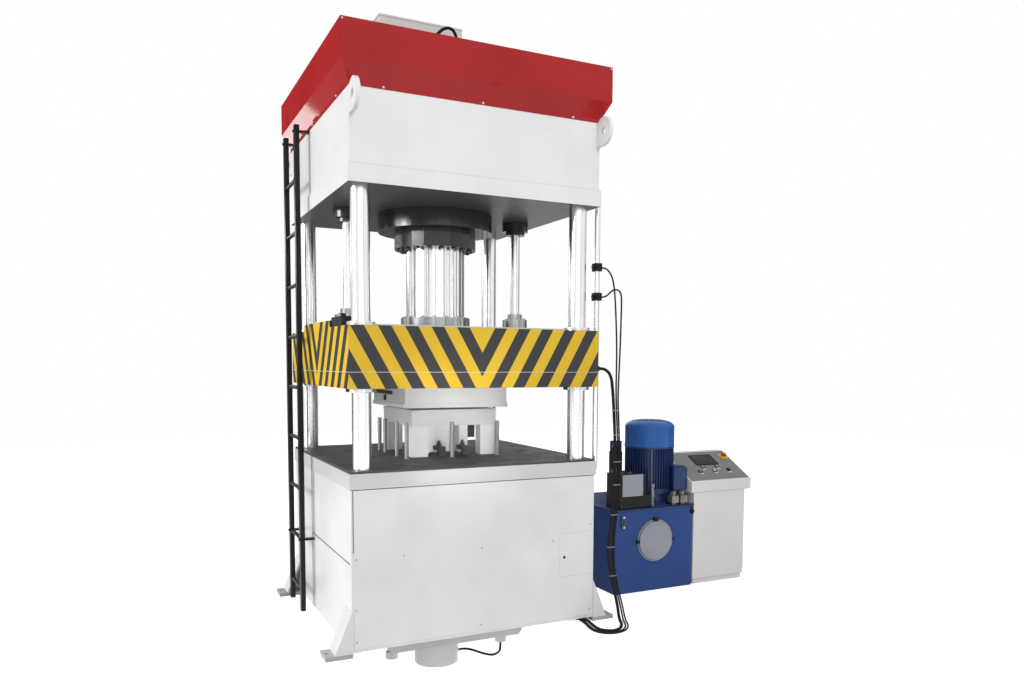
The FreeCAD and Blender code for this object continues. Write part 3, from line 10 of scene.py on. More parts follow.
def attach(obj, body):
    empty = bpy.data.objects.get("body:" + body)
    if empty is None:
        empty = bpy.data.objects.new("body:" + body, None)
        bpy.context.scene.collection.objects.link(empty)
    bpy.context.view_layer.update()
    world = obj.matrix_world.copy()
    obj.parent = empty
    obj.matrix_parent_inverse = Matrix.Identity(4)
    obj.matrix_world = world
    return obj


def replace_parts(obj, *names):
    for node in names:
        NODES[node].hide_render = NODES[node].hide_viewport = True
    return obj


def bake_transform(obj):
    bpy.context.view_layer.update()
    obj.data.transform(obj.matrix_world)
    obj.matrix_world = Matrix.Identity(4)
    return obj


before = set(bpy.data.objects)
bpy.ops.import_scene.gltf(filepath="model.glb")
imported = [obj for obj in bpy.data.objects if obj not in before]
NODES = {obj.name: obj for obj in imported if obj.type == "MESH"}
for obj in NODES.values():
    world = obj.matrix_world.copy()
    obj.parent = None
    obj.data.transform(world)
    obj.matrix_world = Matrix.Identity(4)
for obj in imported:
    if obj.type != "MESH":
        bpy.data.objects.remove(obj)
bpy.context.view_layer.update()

MM = 0.001
TAU = 2 * math.pi


# -------- shapes, in millimetres

def unit(vectors):
    """Each vector divided by its length."""
    return vectors / np.linalg.norm(vectors, axis=-1, keepdims=True)


def lofted(rings, looped=False):
    """Skins a grid of rings whose columns close.

    Its rows close too when looped; otherwise the first and the last end in a flat face.
    """
    rows, columns, _ = rings.shape
    first = np.arange(rows * columns).reshape(rows, columns)
    across = np.roll(first, -1, axis=1)
    onward = np.roll(first, -1, axis=0)
    quads = np.stack([first, across, np.roll(across, -1, axis=0), onward], -1)
    if looped:
        return rings.reshape(-1, 3), quads.reshape(-1, 4).tolist()
    faces = quads[:-1].reshape(-1, 4).tolist()
    return rings.reshape(-1, 3), [*faces, first[0, ::-1].tolist(), first[-1].tolist()]


def extended(points, value):
    """Each point with one more number, the same for all: a height, or a weight."""
    return np.pad(points, ((0, 0), (0, 1)), constant_values=value)


def towards(turn):
    """The unit vector at each angle: (cos, sin)."""
    return np.column_stack([np.cos(turn), np.sin(turn)])


def raised(outline, profile):
    """The point at (s, t) is the outline at s, drawn in by inset(t), at height(t)."""
    return lofted(np.stack([extended(outline(inset), height) for inset, height in profile]))


def disc(radius, sides=32):
    """A circle, or a polygon with few sides: (radius - inset) times (cos s, sin s)."""
    turn = (np.arange(sides) + 0.5) * TAU / sides
    return lambda inset: (radius - inset) * towards(turn)


def pad(width, depth, corner):
    """A rectangle with round corners: corner centre plus corner radius times (cos s, sin s)."""
    steps = 5
    turn = (np.arange(4)[:, None] * TAU / 4 + np.linspace(0, TAU / 4, steps)).ravel()
    side = np.repeat([[1, 1], [-1, 1], [-1, -1], [1, -1]], steps, axis=0)

    def drawn_in(inset):
        bend = max(corner - inset, 0.02)
        centre = np.array([width, depth]) / 2 - inset - bend
        return side * centre + bend * towards(turn)

    return drawn_in


def swept(path, radius, sides=12, looped=False):
    """The point at (s, t) is path(s) + radius(s) (cos t side(s) + sin t over(s))."""
    path = np.asarray(path, float)
    if looped:
        ahead = unit(np.roll(path, -1, axis=0) - np.roll(path, 1, axis=0))
    else:
        ahead = unit(np.gradient(path, axis=0))
    side = unit(np.cross(ahead, [1, 1.01, 0.99]))
    over = np.cross(ahead, side)
    turn = np.arange(sides)[:, None] * TAU / sides
    reach = np.broadcast_to(radius, len(path))[:, None, None]
    round_it = np.cos(turn) * side[:, None] + np.sin(turn) * over[:, None]
    return lofted(path[:, None] + reach * round_it, looped)


def placed(shape, at, up=(0, 0, 1), across=None):
    """Turns a shape's own z to up and its x to across, then moves it."""
    up = unit(np.array(up, float))
    if across is None:
        across = (1, 0, 0) if abs(up[2]) > 0.9 else (0, 0, 1)
    across = np.array(across, float)
    across = unit(across - up * (across @ up))
    return shape[0] @ np.array([across, np.cross(up, across), up]) + at, shape[1]


def together(*shapes):
    """Several shapes as one, with each one's corner numbers moved past those before it."""
    starts = np.cumsum([0] + [len(corners) for corners, _ in shapes])
    faces = [[corner + start for corner in face]
             for (_, faces), start in zip(shapes, starts) for face in faces]
    return np.vstack([corners for corners, _ in shapes]), faces


def at_each(shape, points, up=(0, 0, 1)):
    """The same shape at each of several points."""
    return together(*[placed(shape, point, up) for point in points])


def slab(low, high, edge=1.5, corner=2.0):
    """A plate between two corners with rounded outline and eased top and bottom edges."""
    low, high = np.array(low, float), np.array(high, float)
    wide, deep, tall = high - low
    profile = [(edge, 0), (0, edge), (0, tall - edge), (edge, tall)]
    return placed(raised(pad(wide, deep, corner), profile), [*((low + high)[:2] / 2), low[2]])


def line_of(points):
    """A smooth line through space, as Blender reads it from a NURBS spline of those points."""
    curve = bpy.data.curves.new("line", "CURVE")
    curve.dimensions = "3D"
    curve.resolution_u = 6
    spline = curve.splines.new("NURBS")
    spline.points.add(len(points) - 1)
    spline.points.foreach_set("co", extended(np.array(points, float), 1).ravel())
    spline.order_u = 3
    spline.use_endpoint_u = True
    holder = bpy.data.objects.new("line", curve)
    mesh = bpy.data.meshes.new_from_object(holder)
    line = np.empty(len(mesh.vertices) * 3)
    mesh.vertices.foreach_get("co", line)
    bpy.data.meshes.remove(mesh)
    bpy.data.objects.remove(holder)
    bpy.data.curves.remove(curve)
    return line.reshape(-1, 3)


def shown(name, data):
    """A new object in the scene."""
    item = bpy.data.objects.new(name, data)
    bpy.context.scene.collection.objects.link(item)
    return item


def piece(name, shape, finish, body="frame", crease=35):
    """A shape as an object that rides on a body and takes a finish and its slot."""
    mesh = bpy.data.meshes.new(name)
    mesh.from_pydata((shape[0] * MM).tolist(), [], shape[1])
    mesh.shade_smooth()
    mesh.set_sharp_from_angle(angle=math.radians(crease))
    mesh.materials.append(finish)
    item = shown(name, mesh)
    if body:
        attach(item, body)
    return item


# -------- finishes


def linear(colour):
    """An sRGB hex colour as linear light."""
    values = [int(colour[place:place + 2], 16) / 255 for place in (1, 3, 5)]
    return (*[value / 12.92 if value <= 0.04045 else ((value + 0.055) / 1.055) ** 2.4
              for value in values], 1.0)


def feed(tree, item, inputs):
    """Feeds a node's inputs; each takes a number, a colour, or a node or socket to link from."""
    for key, value in inputs.items():
        if isinstance(value, bpy.types.Node):
            value = value.outputs[0]
        if isinstance(value, bpy.types.NodeSocket):
            tree.links.new(value, item.inputs[key])
        else:
            item.inputs[key].default_value = value


def add(tree, kind, inputs=(), **settings):
    """Adds a node with its settings and inputs."""
    item = tree.nodes.new("ShaderNode" + kind)
    for name, value in settings.items():
        setattr(item, name, value)
    feed(tree, item, dict(inputs))
    return item


def noise(tree, place, size, detail):
    """Soft noise whose largest patches are about size metres across."""
    return add(tree, "TexNoise", {"Vector": place, "Scale": 1 / size, "Detail": detail})


def ranged(tree, value, low, high, start=0.0, end=1.0):
    """Spreads a value that runs from start to end over low to high."""
    return add(tree, "MapRange", {"Value": value, "From Min": start, "From Max": end,
                                  "To Min": low, "To Max": high})


def parts(tree, vector):
    """The x, y and z of a socket, as three sockets."""
    return add(tree, "SeparateXYZ", {0: vector}).outputs


def emptied(owner):
    """The node tree of a material or a world, with nothing in it."""
    owner.use_nodes = True
    owner.node_tree.nodes.clear()
    return owner.node_tree


def reckon(tree, operation, *values, **settings):
    """One step of arithmetic; each value is a number, a node or a socket."""
    return add(tree, "Math", dict(enumerate(values)), operation=operation, **settings)


def surface(name, slot, gleam, **inputs):
    """A material with one Principled shader; returns it with its tree, shader and Object place."""
    material = bpy.data.materials.new(name)
    tree = emptied(material)
    place = add(tree, "TexCoord")
    shader = add(tree, "BsdfPrincipled", {"Specular IOR Level": gleam, **{
        key.replace("_", " "): value for key, value in inputs.items()}})
    add(tree, "OutputMaterial", {"Surface": shader})
    return material, tree, shader, place.outputs["Object"]


def sprayed(name, slot, colour, shade, roughness, coat=0.0, peel=3.0, gleam=0.3):
    """Sprayed enamel over primed steel.

    The gun leaves a fine orange peel, here peel millimetres across, and passes that overlap
    leave the tone a little uneven over a third of a metre.  Paint draws back from sharp edges,
    so they look eased by about 2 mm and catch a thin line of light.
    """
    material, tree, shader, place = surface(name, slot, gleam, IOR=1.5, Coat_Weight=coat,
                                            Coat_Roughness=0.06)
    passes = ranged(tree, noise(tree, place, 0.35, 2.0), 0.0, 1.0, 0.35, 0.65)
    tone = add(tree, "Mix", {0: passes, 6: linear(colour), 7: linear(shade)}, data_type="RGBA")
    sheen = ranged(tree, noise(tree, place, 0.05, 4.0), roughness - 0.06, roughness + 0.08)
    droplets = noise(tree, place, peel * MM, 1.0)
    edge = add(tree, "Bevel", {"Radius": 2 * MM}, samples=4)
    skin = add(tree, "Bump", {"Height": droplets, "Distance": 0.12 * MM, "Strength": 0.35,
                              "Normal": edge})
    feed(tree, shader, {"Base Color": tone.outputs[2], "Roughness": sheen, "Normal": skin})
    return material, tree, shader, place


def machined(name, slot, colour, shade, roughness, lay, pitch, depth, stain=0.5, streak=0.0,
             metallic=1.0, gleam=0.5):
    """Metal cut or ground by a tool that leaves a lay of fine parallel marks.

    lay is how fast the marks change along x, y and z; pitch is their spacing in millimetres,
    drawn as coarse as the picture needs to show it.  Oil and handling leave soft darker clouds.
    Marks that run round an upright bar spread each reflection up and down it by streak.
    """
    material, tree, shader, place = surface(name, slot, gleam, Metallic=metallic,
                                            Anisotropic=streak, Anisotropic_Rotation=0.25)
    stretched = add(tree, "Mapping", {"Vector": place, "Scale": lay})
    marks = noise(tree, stretched, pitch * MM, 3.0)
    cloud = noise(tree, place, 0.11, 5.0)
    dark = ranged(tree, cloud, 0.0, stain, 0.42, 0.72)
    tone = add(tree, "Mix", {0: dark, 6: linear(colour), 7: linear(shade)}, data_type="RGBA")
    rough = ranged(tree, reckon(tree, "ADD", marks, cloud), roughness * 0.7, roughness * 1.4,
                   0.6, 1.4)
    skin = add(tree, "Bump", {"Height": marks, "Distance": depth * MM, "Strength": 0.5})
    feed(tree, shader, {"Base Color": tone.outputs[2], "Roughness": rough, "Normal": skin})
    if streak:
        normal = add(tree, "NewGeometry").outputs["Normal"]
        around = add(tree, "VectorMath", {0: (0.02, 0.01, 1), 1: normal},
                     operation="CROSS_PRODUCT")
        feed(tree, shader, {"Tangent": around})
    return material, tree, shader, place


def moulded(name, slot, colour, roughness, grain=0.0, coat=0.0):
    """Injection-moulded plastic, whose tool was etched with a grain of that many millimetres.

    Handling leaves it a little shinier in patches.
    """
    material, tree, shader, place = surface(name, slot, 0.25, Base_Color=linear(colour),
                                            IOR=1.46, Coat_Weight=coat, Coat_Roughness=0.05)
    sheen = ranged(tree, noise(tree, place, 0.02, 4.0), roughness * 0.75, roughness * 1.3)
    pits = add(tree, "TexVoronoi", {"Vector": place, "Scale": 1 / (max(grain, 0.6) * MM)})
    skin = add(tree, "Bump", {"Height": pits, "Distance": 0.1 * MM,
                              "Strength": 0.4 if grain else 0.05})
    feed(tree, shader, {"Roughness": sheen, "Normal": skin})
    return material


FACING = 0.7          # a face looks along an axis when that part of its normal is beyond this
FOOT_PLATE = 0.0255   # metres: just over the feet's base plates
UNDERSIDE_GLEAM = 0.06


def painted_over(tree, shader, where, colour):
    """Lays another colour over the shader's own wherever where is 1."""
    own = shader.inputs["Base Color"].links[0].from_socket
    tone = add(tree, "Mix", {0: where, 6: own, 7: linear(colour)}, data_type="RGBA")
    feed(tree, shader, {"Base Color": tone.outputs[2]})


def blackened_and_shaded_below(material, tree, shader, _, colour, gleam):
    """Downward faces go dark with little gleam, as painted shade, on the crown over blackened
    plate; the rest keep theirs.
    """
    normal = parts(tree, add(tree, "TexCoord").outputs["Normal"])
    below = reckon(tree, "LESS_THAN", normal[2], -FACING)
    shine = ranged(tree, below, gleam, UNDERSIDE_GLEAM)
    feed(tree, shader, {"Specular IOR Level": shine})
    painted_over(tree, shader, below, colour)
    return material


def shaded_below_level(material, tree, shader, place, level, colour):
    """Everything lower than a level takes another colour, as painted shade."""
    under = reckon(tree, "LESS_THAN", parts(tree, place)[2], level)
    painted_over(tree, shader, under, colour)
    return material


# Alkyd enamel sprayed on welded plate: even, semi-gloss, nearly neutral white.
white_enamel = sprayed("sprayed_white_enamel", "white_paint", "#E6E8E7", "#DEE0DF", 0.34)[0]

# The bed's thick top plate: the same white a shade greyer, as painted shade, since its front edge
# sits in shade.
plate_enamel_painted_shade = sprayed("sprayed_white_enamel_greyed_as_shade", "white_paint", "#D3D5D4", "#CBCDCC", 0.36)[0]

# The upper die and its rest posts: a bright white enamel brushed on, then flattened with a rag;
# its extra brightness is painted light against the shade under the slide.
die_enamel_painted_light = sprayed("brushed_die_enamel", "white_paint", "#F5F5F3", "#EEEEEC", 0.40,
                     peel=4.0)[0]

# The feet: the same white on the braces, and grey on the base plates as painted shade.
foot_enamel_painted_shade = shaded_below_level(*sprayed("white_enamel_painted_shade_below", "white_paint", "#E0E2E1",
                                    "#D8DAD9", 0.36), FOOT_PLATE, "#A9ABAB")

# The crown is sprayed the same white; its milled underside is oil-blackened and darker still as
# painted shade.
crown_enamel = blackened_and_shaded_below(*sprayed("white_enamel_blackened_and_shaded_below", "white_paint", "#E7E9E8",
                                       "#E0E2E1", 0.34), "#4D4D4E", 0.2)

# Gloss polyurethane on folded sheet: deep red with a hard clear reflection.
red_gloss = sprayed("gloss_red_polyurethane", "red_paint", "#A82729", "#A02325", 0.2, 0.35,
                    peel=6.0, gleam=0.0)[0]


STRIPES_FROM = 1.878   # metres: the level that the stripes are laid off from
STRIPE_LEAN = 0.56     # how far a stripe runs aside for each metre down
STRIPE_START = 0.082   # metres from the middle of a side to the first stripe
STRIPE_PITCH = 0.158   # metres from one stripe to the next
SLIDE_TOP = 1.8785     # metres: just over the edge of the slide's top plate


def hazard_enamel(name, limit=3.0):
    """Yellow enamel with masked grey stripes that meet in a V at the middle of each side.

    With s = |across| + lean (from - z) - start, s above 0 is grey for the first half of each
    pitch.  Level faces and all that stands above the limit in metres are left in pale grey.
    """
    material, tree, shader, place = sprayed(name, "yellow_paint", "#E3BD3F", "#DBB438", 0.30,
                                            0.04)
    spot = parts(tree, place)
    normal = parts(tree, add(tree, "TexCoord").outputs["Normal"])
    on_side = reckon(tree, "GREATER_THAN", reckon(tree, "ABSOLUTE", normal[0]), FACING)
    across = add(tree, "Mix", {0: on_side, 2: spot[0], 3: spot[1]})
    drop = reckon(tree, "SUBTRACT", STRIPES_FROM, spot[2])
    along = reckon(tree, "MULTIPLY_ADD", drop, STRIPE_LEAN, reckon(tree, "ABSOLUTE", across))
    past = reckon(tree, "SUBTRACT", along, STRIPE_START)
    part = reckon(tree, "FRACT", reckon(tree, "DIVIDE", past, STRIPE_PITCH))
    first_half = reckon(tree, "LESS_THAN", part, 0.5)
    begun = reckon(tree, "GREATER_THAN", past, 0.0)
    painted_over(tree, shader, reckon(tree, "MULTIPLY", first_half, begun), "#474748")
    level = reckon(tree, "GREATER_THAN", normal[2], FACING)
    higher = reckon(tree, "GREATER_THAN", spot[2], limit)
    painted_over(tree, shader, reckon(tree, "MAXIMUM", level, higher), "#C9CBCB")
    # Faces that look down go dark grey, as painted shade.
    return blackened_and_shaded_below(material, tree, shader, place, "#2A2A2B", 0.0)


# The slide: stripes masked off with tape, crisp at their edges, under a pale grey top.
striped_enamel = hazard_enamel("masked_hazard_enamel", SLIDE_TOP)

# The rail on the slide's left side is sprayed with it, so that the stripes run on over it.
rail_enamel = hazard_enamel("masked_hazard_enamel_on_rail")

# Satin black enamel on the ladder and the manifold: soft broad highlights.
black_satin = sprayed("satin_black_enamel", "black_paint", "#161618", "#1C1C1E", 0.42,
                      gleam=0.2)[0]

# Light grey satin enamel on the small boxes: even, with a soft wide shine.
grey_satin = sprayed("satin_light_grey_enamel", "light_grey_paint", "#D2D3D1", "#C6C7C5",
                     0.38)[0]

# Gloss blue enamel sprayed on the tank: a slightly lilac navy with a clean, even shine.
tank_blue = sprayed("gloss_navy_enamel", "tank_blue_paint", "#3D558F", "#395088", 0.3,
                    gleam=0.03)[0]

# Blue enamel over sand-cast iron: the casting's grain is 3 to 5 mm and still shows; its darker
# blue is painted shade for the gaps between the fins.
motor_blue = sprayed("blue_enamel_on_castings_with_painted_shade", "motor_blue_paint", "#213B6C", "#1D3461", 0.32,
                     0.2, peel=5.0, gleam=0.2)[0]

# The same blue over pressed sheet, lighter, without the castings' painted shade.
cowl_blue = sprayed("blue_enamel_on_pressed_sheet", "motor_blue_paint", "#3065B0", "#2B5DA4",
                    0.24, 0.3, peel=3.0, gleam=0.08)[0]

# Electrostatic powder coat: a fine leathery texture, about 1.5 mm, with a dull sheen.
powder_grey = sprayed("textured_powder_coat", "console_paint", "#E2E2E0", "#DCDCDA", 0.45,
                      peel=1.5)[0]

# The desk's panel: the same powder in a middle grey, so that the push buttons stand out.
powder_desk = sprayed("grey_textured_powder_coat", "console_paint", "#7F7F7D", "#787876", 0.45,
                      peel=1.5)[0]

# Hard chrome, ground round the bar: near-white, with every reflection drawn into upright streaks.
hard_chrome = machined("ground_hard_chrome", "chrome", "#F6F7F8", "#EDEFF0", 0.16,
                       (0.02, 0.02, 1), 2.0, 0.001, 0.3, 0.9)[0]

# Oil-blackened steel: black iron oxide over turning marks, with a faint gleam of oil.
black_oxide = machined("oil_blackened_steel", "dark_steel", "#555556", "#4C4C4D", 0.5,
                       (0.1, 0.1, 1), 2.5, 0.02, 0.3, metallic=0.1, gleam=0.08)[0]

# Black oxide under a film of oil on the cylinders: nearly black with sharp pale glints, and
# downward faces darker still as painted shade.
oiled_black_shaded_below = blackened_and_shaded_below(*machined("oil_wet_black_oxide_shaded_below", "dark_steel", "#3E3E3F", "#353537",
                                       0.15, (0.1, 0.1, 1), 2.5, 0.003, metallic=0.1),
                             "#19191A", 0.4)

# Rings turned bright and thinly blued: pale, with soft darker clouds and crisp glints.
blued_steel = machined("blued_turned_steel", "dark_steel", "#B4B5B6", "#8C8D8E", 0.16,
                       (0.1, 0.1, 1), 2.0, 0.004, 0.6)[0]

# Steel bar drawn through a die: grey, softly shining along its length, stained by handling.
drawn_steel = machined("drawn_steel_bar", "bright_steel", "#A9AAAB", "#979899", 0.38,
                       (0.05, 0.05, 1), 2.0, 0.006, 0.5, 0.6, 0.6)[0]

# Bar turned, then ground: brighter than drawn bar, with a soft streak across each highlight.
bright_steel = machined("turned_bright_steel", "bright_steel", "#E4E5E6", "#D4D5D6", 0.24,
                        (0.05, 0.05, 1), 2.0, 0.004, 0.4, 0.9)[0]

# Milled tool steel: straight cutter tracks about 6 mm apart along x break up its pale sheen.
milled_steel = machined("milled_tool_steel", "machined_steel", "#E0E0DE", "#D6D6D4", 0.45,
                        (0.05, 1, 0.6), 6.0, 0.02, 0.35, metallic=0.25)[0]

# Zinc-plated valve bodies: dull warm grey, blotched where the bath took unevenly.
zinc_plate = machined("zinc_plated_steel", "bright_steel", "#8B8884", "#5F5B57", 0.4,
                      (1, 1, 1), 9.0, 0.01, 0.9, metallic=0.5, gleam=0.4)[0]

# Turned aluminium: pale, slightly lilac, with a silky bloom.
turned_aluminium = machined("turned_aluminium", "aluminium", "#92949F", "#868893", 0.36,
                            (1, 0.2, 1), 3.0, 0.02, 0.4, metallic=0.35, gleam=0.3)[0]

# Black nylon from a spark-eroded mould: a fine matt grain that hardly shines.
black_nylon = moulded("moulded_black_nylon", "black_plastic", "#141415", 0.45, 0.9)

# Natural nylon, left undyed: the same grain in a warm grey, as on lamps that are off.
pale_nylon = moulded("moulded_natural_nylon", "white_plastic", "#A9A79C", 0.5, 0.9)

# Acetal from a polished mould: smooth, with a small bright highlight on buttons and caps.
white_acetal = moulded("moulded_white_acetal", "white_plastic", "#DCDBD6", 0.25, coat=0.3)
red_acetal = moulded("moulded_red_acetal", "red_plastic", "#BE1F1A", 0.22, coat=0.4)
green_acetal = moulded("moulded_green_acetal", "green_plastic", "#1F8A3E", 0.22, coat=0.4)

# Dull dark grey on the weld beads: painted shade for the shadow along each weld.
painted_weld_shade = moulded("grey_seam_sealer", "light_grey_paint", "#5A5B5B", 0.6)

# Grained yellow nylon round the emergency stop: plain and even, to be found at a glance.
yellow_nylon = moulded("moulded_yellow_nylon", "yellow_paint", "#E2B91F", 0.35, 0.9)

# Clear polycarbonate over a dark tube: nearly black, with a hard wet highlight.
gauge_clear = moulded("moulded_gauge_polycarbonate", "gauge_plastic", "#33383A", 0.12, coat=0.8)

# Display glass etched against glare: an even charcoal that blurs what it mirrors.
display_glass = moulded("etched_display_glass", "screen_glass", "#303134", 0.4)


def sheathed(name, slot, colour, roughness, twist, rib):
    """Extruded or wrapped sheath whose marks run round the cord in a helix.

    twist is the length in millimetres of one turn of the marks, and rib their depth.
    """
    material, tree, shader, place = surface(name, slot, 0.2, Base_Color=linear(colour), IOR=1.52)
    along, around, _ = parts(tree, add(tree, "TexCoord").outputs["UV"])
    turns = reckon(tree, "MULTIPLY", along, 1 / (twist * MM))
    phase = reckon(tree, "ADD", turns, around)
    height = reckon(tree, "SINE", reckon(tree, "MULTIPLY", phase, TAU))
    sheen = ranged(tree, noise(tree, place, 0.03, 4.0), roughness - 0.1, roughness + 0.12)
    skin = add(tree, "Bump", {"Height": height, "Distance": rib * MM, "Strength": 0.5})
    feed(tree, shader, {"Roughness": sheen, "Normal": skin})
    return material


# Sheath extruded over twisted cores, which show through as a faint lay: dull black.
cable_sheath = sheathed("extruded_cable_sheath", "cable_sheath", "#101012", 0.6, 26.0, 0.15)

# Hose wrapped in cloth tape while it was cured: the tape's edges leave a ridge every 9 mm.
wrapped_hose = sheathed("cloth_wrapped_hose_rubber", "hose_rubber", "#131314", 0.65, 9.0, 0.3)


# -------- CAD parts

def dress(finish, *names):
    """Gives CAD nodes a finish through their own material slots."""
    for name in names:
        for entry in NODES[name].material_slots:
            entry.material = finish


dress(white_enamel, "bed_frame", "front_panel", "inspection_door", "lifting_eyes",
      "cushion_carrier", "cushion_cylinder")
dress(plate_enamel_painted_shade, "bed_top_plate")
dress(foot_enamel_painted_shade, "anchor_feet")
dress(die_enamel_painted_light, "upper_die", "die_posts")
dress(crown_enamel, "crown_frame")
dress(red_gloss, "top_cover")
dress(striped_enamel, "slide_frame")
dress(black_satin, "ladder", "valve_manifold")
dress(grey_satin, "roof_box")
dress(tank_blue, "oil_tank", "oil_filter")
dress(motor_blue, "terminal_box", "bell_housing", "motor_body")
dress(powder_grey, "console_cabinet", "console_desk")
dress(hard_chrome, "column_front_left", "column_front_right", "column_back_left",
      "column_back_right", "ram", "return_rods", "limit_switch_rod")
dress(bright_steel, "guide_bushes", "cushion_rod", "motor_rotor")
dress(drawn_steel, "cushion_pins")
dress(milled_steel, "lower_die_block", "lower_die_plate")
dress(oiled_black_shaded_below, "column_nuts", "main_cylinder", "gland_ring", "return_cylinders")
dress(black_oxide, "bolster_plate", "die_clamps")
dress(blued_steel, "ram_clamp_ring")
dress(zinc_plate, "control_valves")
dress(black_nylon, "limit_switches", "bed_cable_gland", "lubricator", "slide_cable_gland",
      "lower_button")
dress(gauge_clear, "level_gauge")
dress(display_glass, "touch_screen")
dress(red_acetal, "emergency_stop")
dress(green_acetal, "start_button")
dress(white_acetal, "raise_button")


# -------- free cables and hoses

def laid_cord(name, points, diameter, finish, stands_for,
              blend=None):
    """Lays a round sheath along the NURBS line of its route, with UV along and round it."""
    line = line_of(points)
    sides = 14
    item = piece(name, swept(line, diameter / 2, sides), finish,
                 body=None if blend else "frame", crease=60)
    steps = np.linalg.norm(np.diff(line, axis=0), axis=1)
    reach = np.concatenate([[0], np.cumsum(steps)]) * MM
    row, column = np.divmod(np.arange((len(line) - 1) * sides), sides)
    along = reach[np.stack([row, row, row + 1, row + 1], -1)]
    around = np.stack([column, column + 1, column + 1, column], -1) / sides
    layer = item.data.uv_layers.new(name="UVMap")
    values = np.zeros((len(item.data.loops), 2))
    values[:along.size] = np.stack([along.ravel(), around.ravel()], -1)
    layer.uv.foreach_set("vector", values.ravel())
    if blend:
        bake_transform(item)
    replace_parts(item, stands_for)
    return line


# Routes in millimetres, from the end at the gland, switch, box or cylinder onwards.
SLIDE_CABLE = [
    (832, -750, 1640), (870, -750, 1640), (905, -751, 1620), (927, -752, 1586), (936, -753, 1532),
    (945, -755, 1430), (955, -757, 1265), (962, -759, 1080), (960, -762, 905), (947, -766, 750),
    (924, -773, 610), (905, -781, 490), (904, -789, 375), (920, -799, 262), (944, -811, 162),
    (956, -820, 90), (955, -832, 53), (948, -853, 25), (937, -882, 12), (920, -924, 11),
    (893, -968, 11), (857, -1007, 11), (823, -1027, 11), (788, -1030, 11), (756, -1018, 11),
    (733, -992, 11), (724, -958, 11), (727, -906, 11), (737, -850, 12), (744, -790, 16),
    (744, -730, 16)]
UPPER_LEAD = [
    (873, -700, 2287), (904, -700, 2287), (932, -702, 2268), (952, -705, 2236), (965, -708, 2190),
    (974, -711, 2115), (980, -716, 1990), (983, -723, 1850), (982, -730, 1710), (975, -738, 1575),
    (970, -747, 1450), (972, -755, 1330), (978, -759, 1200), (983, -762, 1070), (982, -765, 925),
    (972, -769, 790), (954, -774, 662), (934, -782, 540), (926, -790, 425), (932, -799, 312),
    (951, -811, 206), (970, -823, 112), (976, -837, 58), (972, -858, 25), (962, -885, 8),
    (943, -932, 6.5), (914, -982, 6.5), (873, -1024, 6.5), (830, -1047, 6.5), (783, -1050, 6.5),
    (741, -1034, 6.5), (711, -1001, 6.5), (700, -956, 6.5), (705, -905, 6.5), (716, -850, 8),
    (723, -790, 12), (723, -730, 12)]
LOWER_LEAD = [
    (873, -700, 2100), (899, -700, 2100), (922, -706, 2114), (938, -714, 2135), (958, -722, 2149),
    (982, -729, 2149), (1002, -732, 2134), (1011, -731, 2108), (1013, -730, 2068),
    (1012, -730, 1990), (1009, -731, 1870), (1004, -733, 1730), (995, -738, 1590),
    (985, -746, 1450), (986, -755, 1330), (992, -758, 1200), (997, -761, 1070), (996, -764, 925),
    (986, -768, 790), (968, -774, 662), (948, -782, 540), (940, -790, 425), (946, -799, 312),
    (965, -811, 206), (985, -824, 112), (991, -838, 58), (987, -861, 25), (976, -891, 8),
    (957, -941, 6.5), (926, -995, 6.5), (883, -1037, 6.5), (833, -1062, 6.5), (779, -1066, 6.5),
    (730, -1047, 6.5), (696, -1009, 6.5), (684, -957, 6.5), (689, -903, 6.5), (702, -850, 8),
    (709, -790, 12), (709, -730, 12)]
ROOF_HOSE = [
    (-207, -568, 3588), (-207, -596, 3588), (-198, -624, 3598), (-177, -641, 3612),
    (-149, -646, 3617), (-122, -642, 3608), (-104, -634, 3586), (-97, -627, 3558),
    (-95, -624, 3531), (-95, -624, 3503)]
CUSHION_HOSE = [
    (164, 0, -345), (210, 0, -345), (254, -26, -351), (296, -84, -360), (326, -152, -358),
    (342, -220, -340), (344, -280, -304), (334, -332, -272), (330, -350, -236), (330, -350, -195)]

# The slide cable's points at the slide and at the bed, in metres; giving them only leaves the
# cable on no body.
STRETCH = ((0.832, -0.750, 1.640), (0.956, -0.820, 0.090))

slide_line = laid_cord("slide_cable_sheath", SLIDE_CABLE, 20, cable_sheath,
                       "slide_cable", blend=STRETCH)
upper_line = laid_cord("upper_switch_lead", UPPER_LEAD, 11, cable_sheath, "switch_leads")
lower_line = laid_cord("lower_switch_lead", LOWER_LEAD, 11, cable_sheath, "switch_leads")
laid_cord("roof_hose_rubber", ROOF_HOSE, 18, wrapped_hose, "roof_hose")
laid_cord("cushion_hose_rubber", CUSHION_HOSE, 16, wrapped_hose, "cushion_hose")


# -------- fasteners and rings

def collar(outer, inner, height, ease=1.0, sides=40):
    """A ring about z: a closed profile of radius and height turned round the axis."""
    profile = [(outer - ease, 0), (outer, ease), (outer, height - ease), (outer - ease, height),
               (inner + ease, height), (inner, height - ease), (inner, ease), (inner + ease, 0)]
    return lofted(np.stack([extended(disc(radius, sides)(0), level)
                            for radius, level in profile]), True)


def screw(radius, height):
    """A pan head with a round recess: the inset follows a quarter round, then drops inside."""
    return raised(disc(radius, 18), [
        (0, 0), (0, 0.45 * height), (0.1 * radius, 0.8 * height), (0.35 * radius, height),
        (0.58 * radius, height), (0.62 * radius, 0.45 * height)])


def nut(radius, height, ease=1.5, drop=1):
    """A hexagon that draws in by ease over the last drop of its height."""
    return raised(disc(radius, 6), [(1, 0), (0, 1), (0, height - drop), (ease, height)])


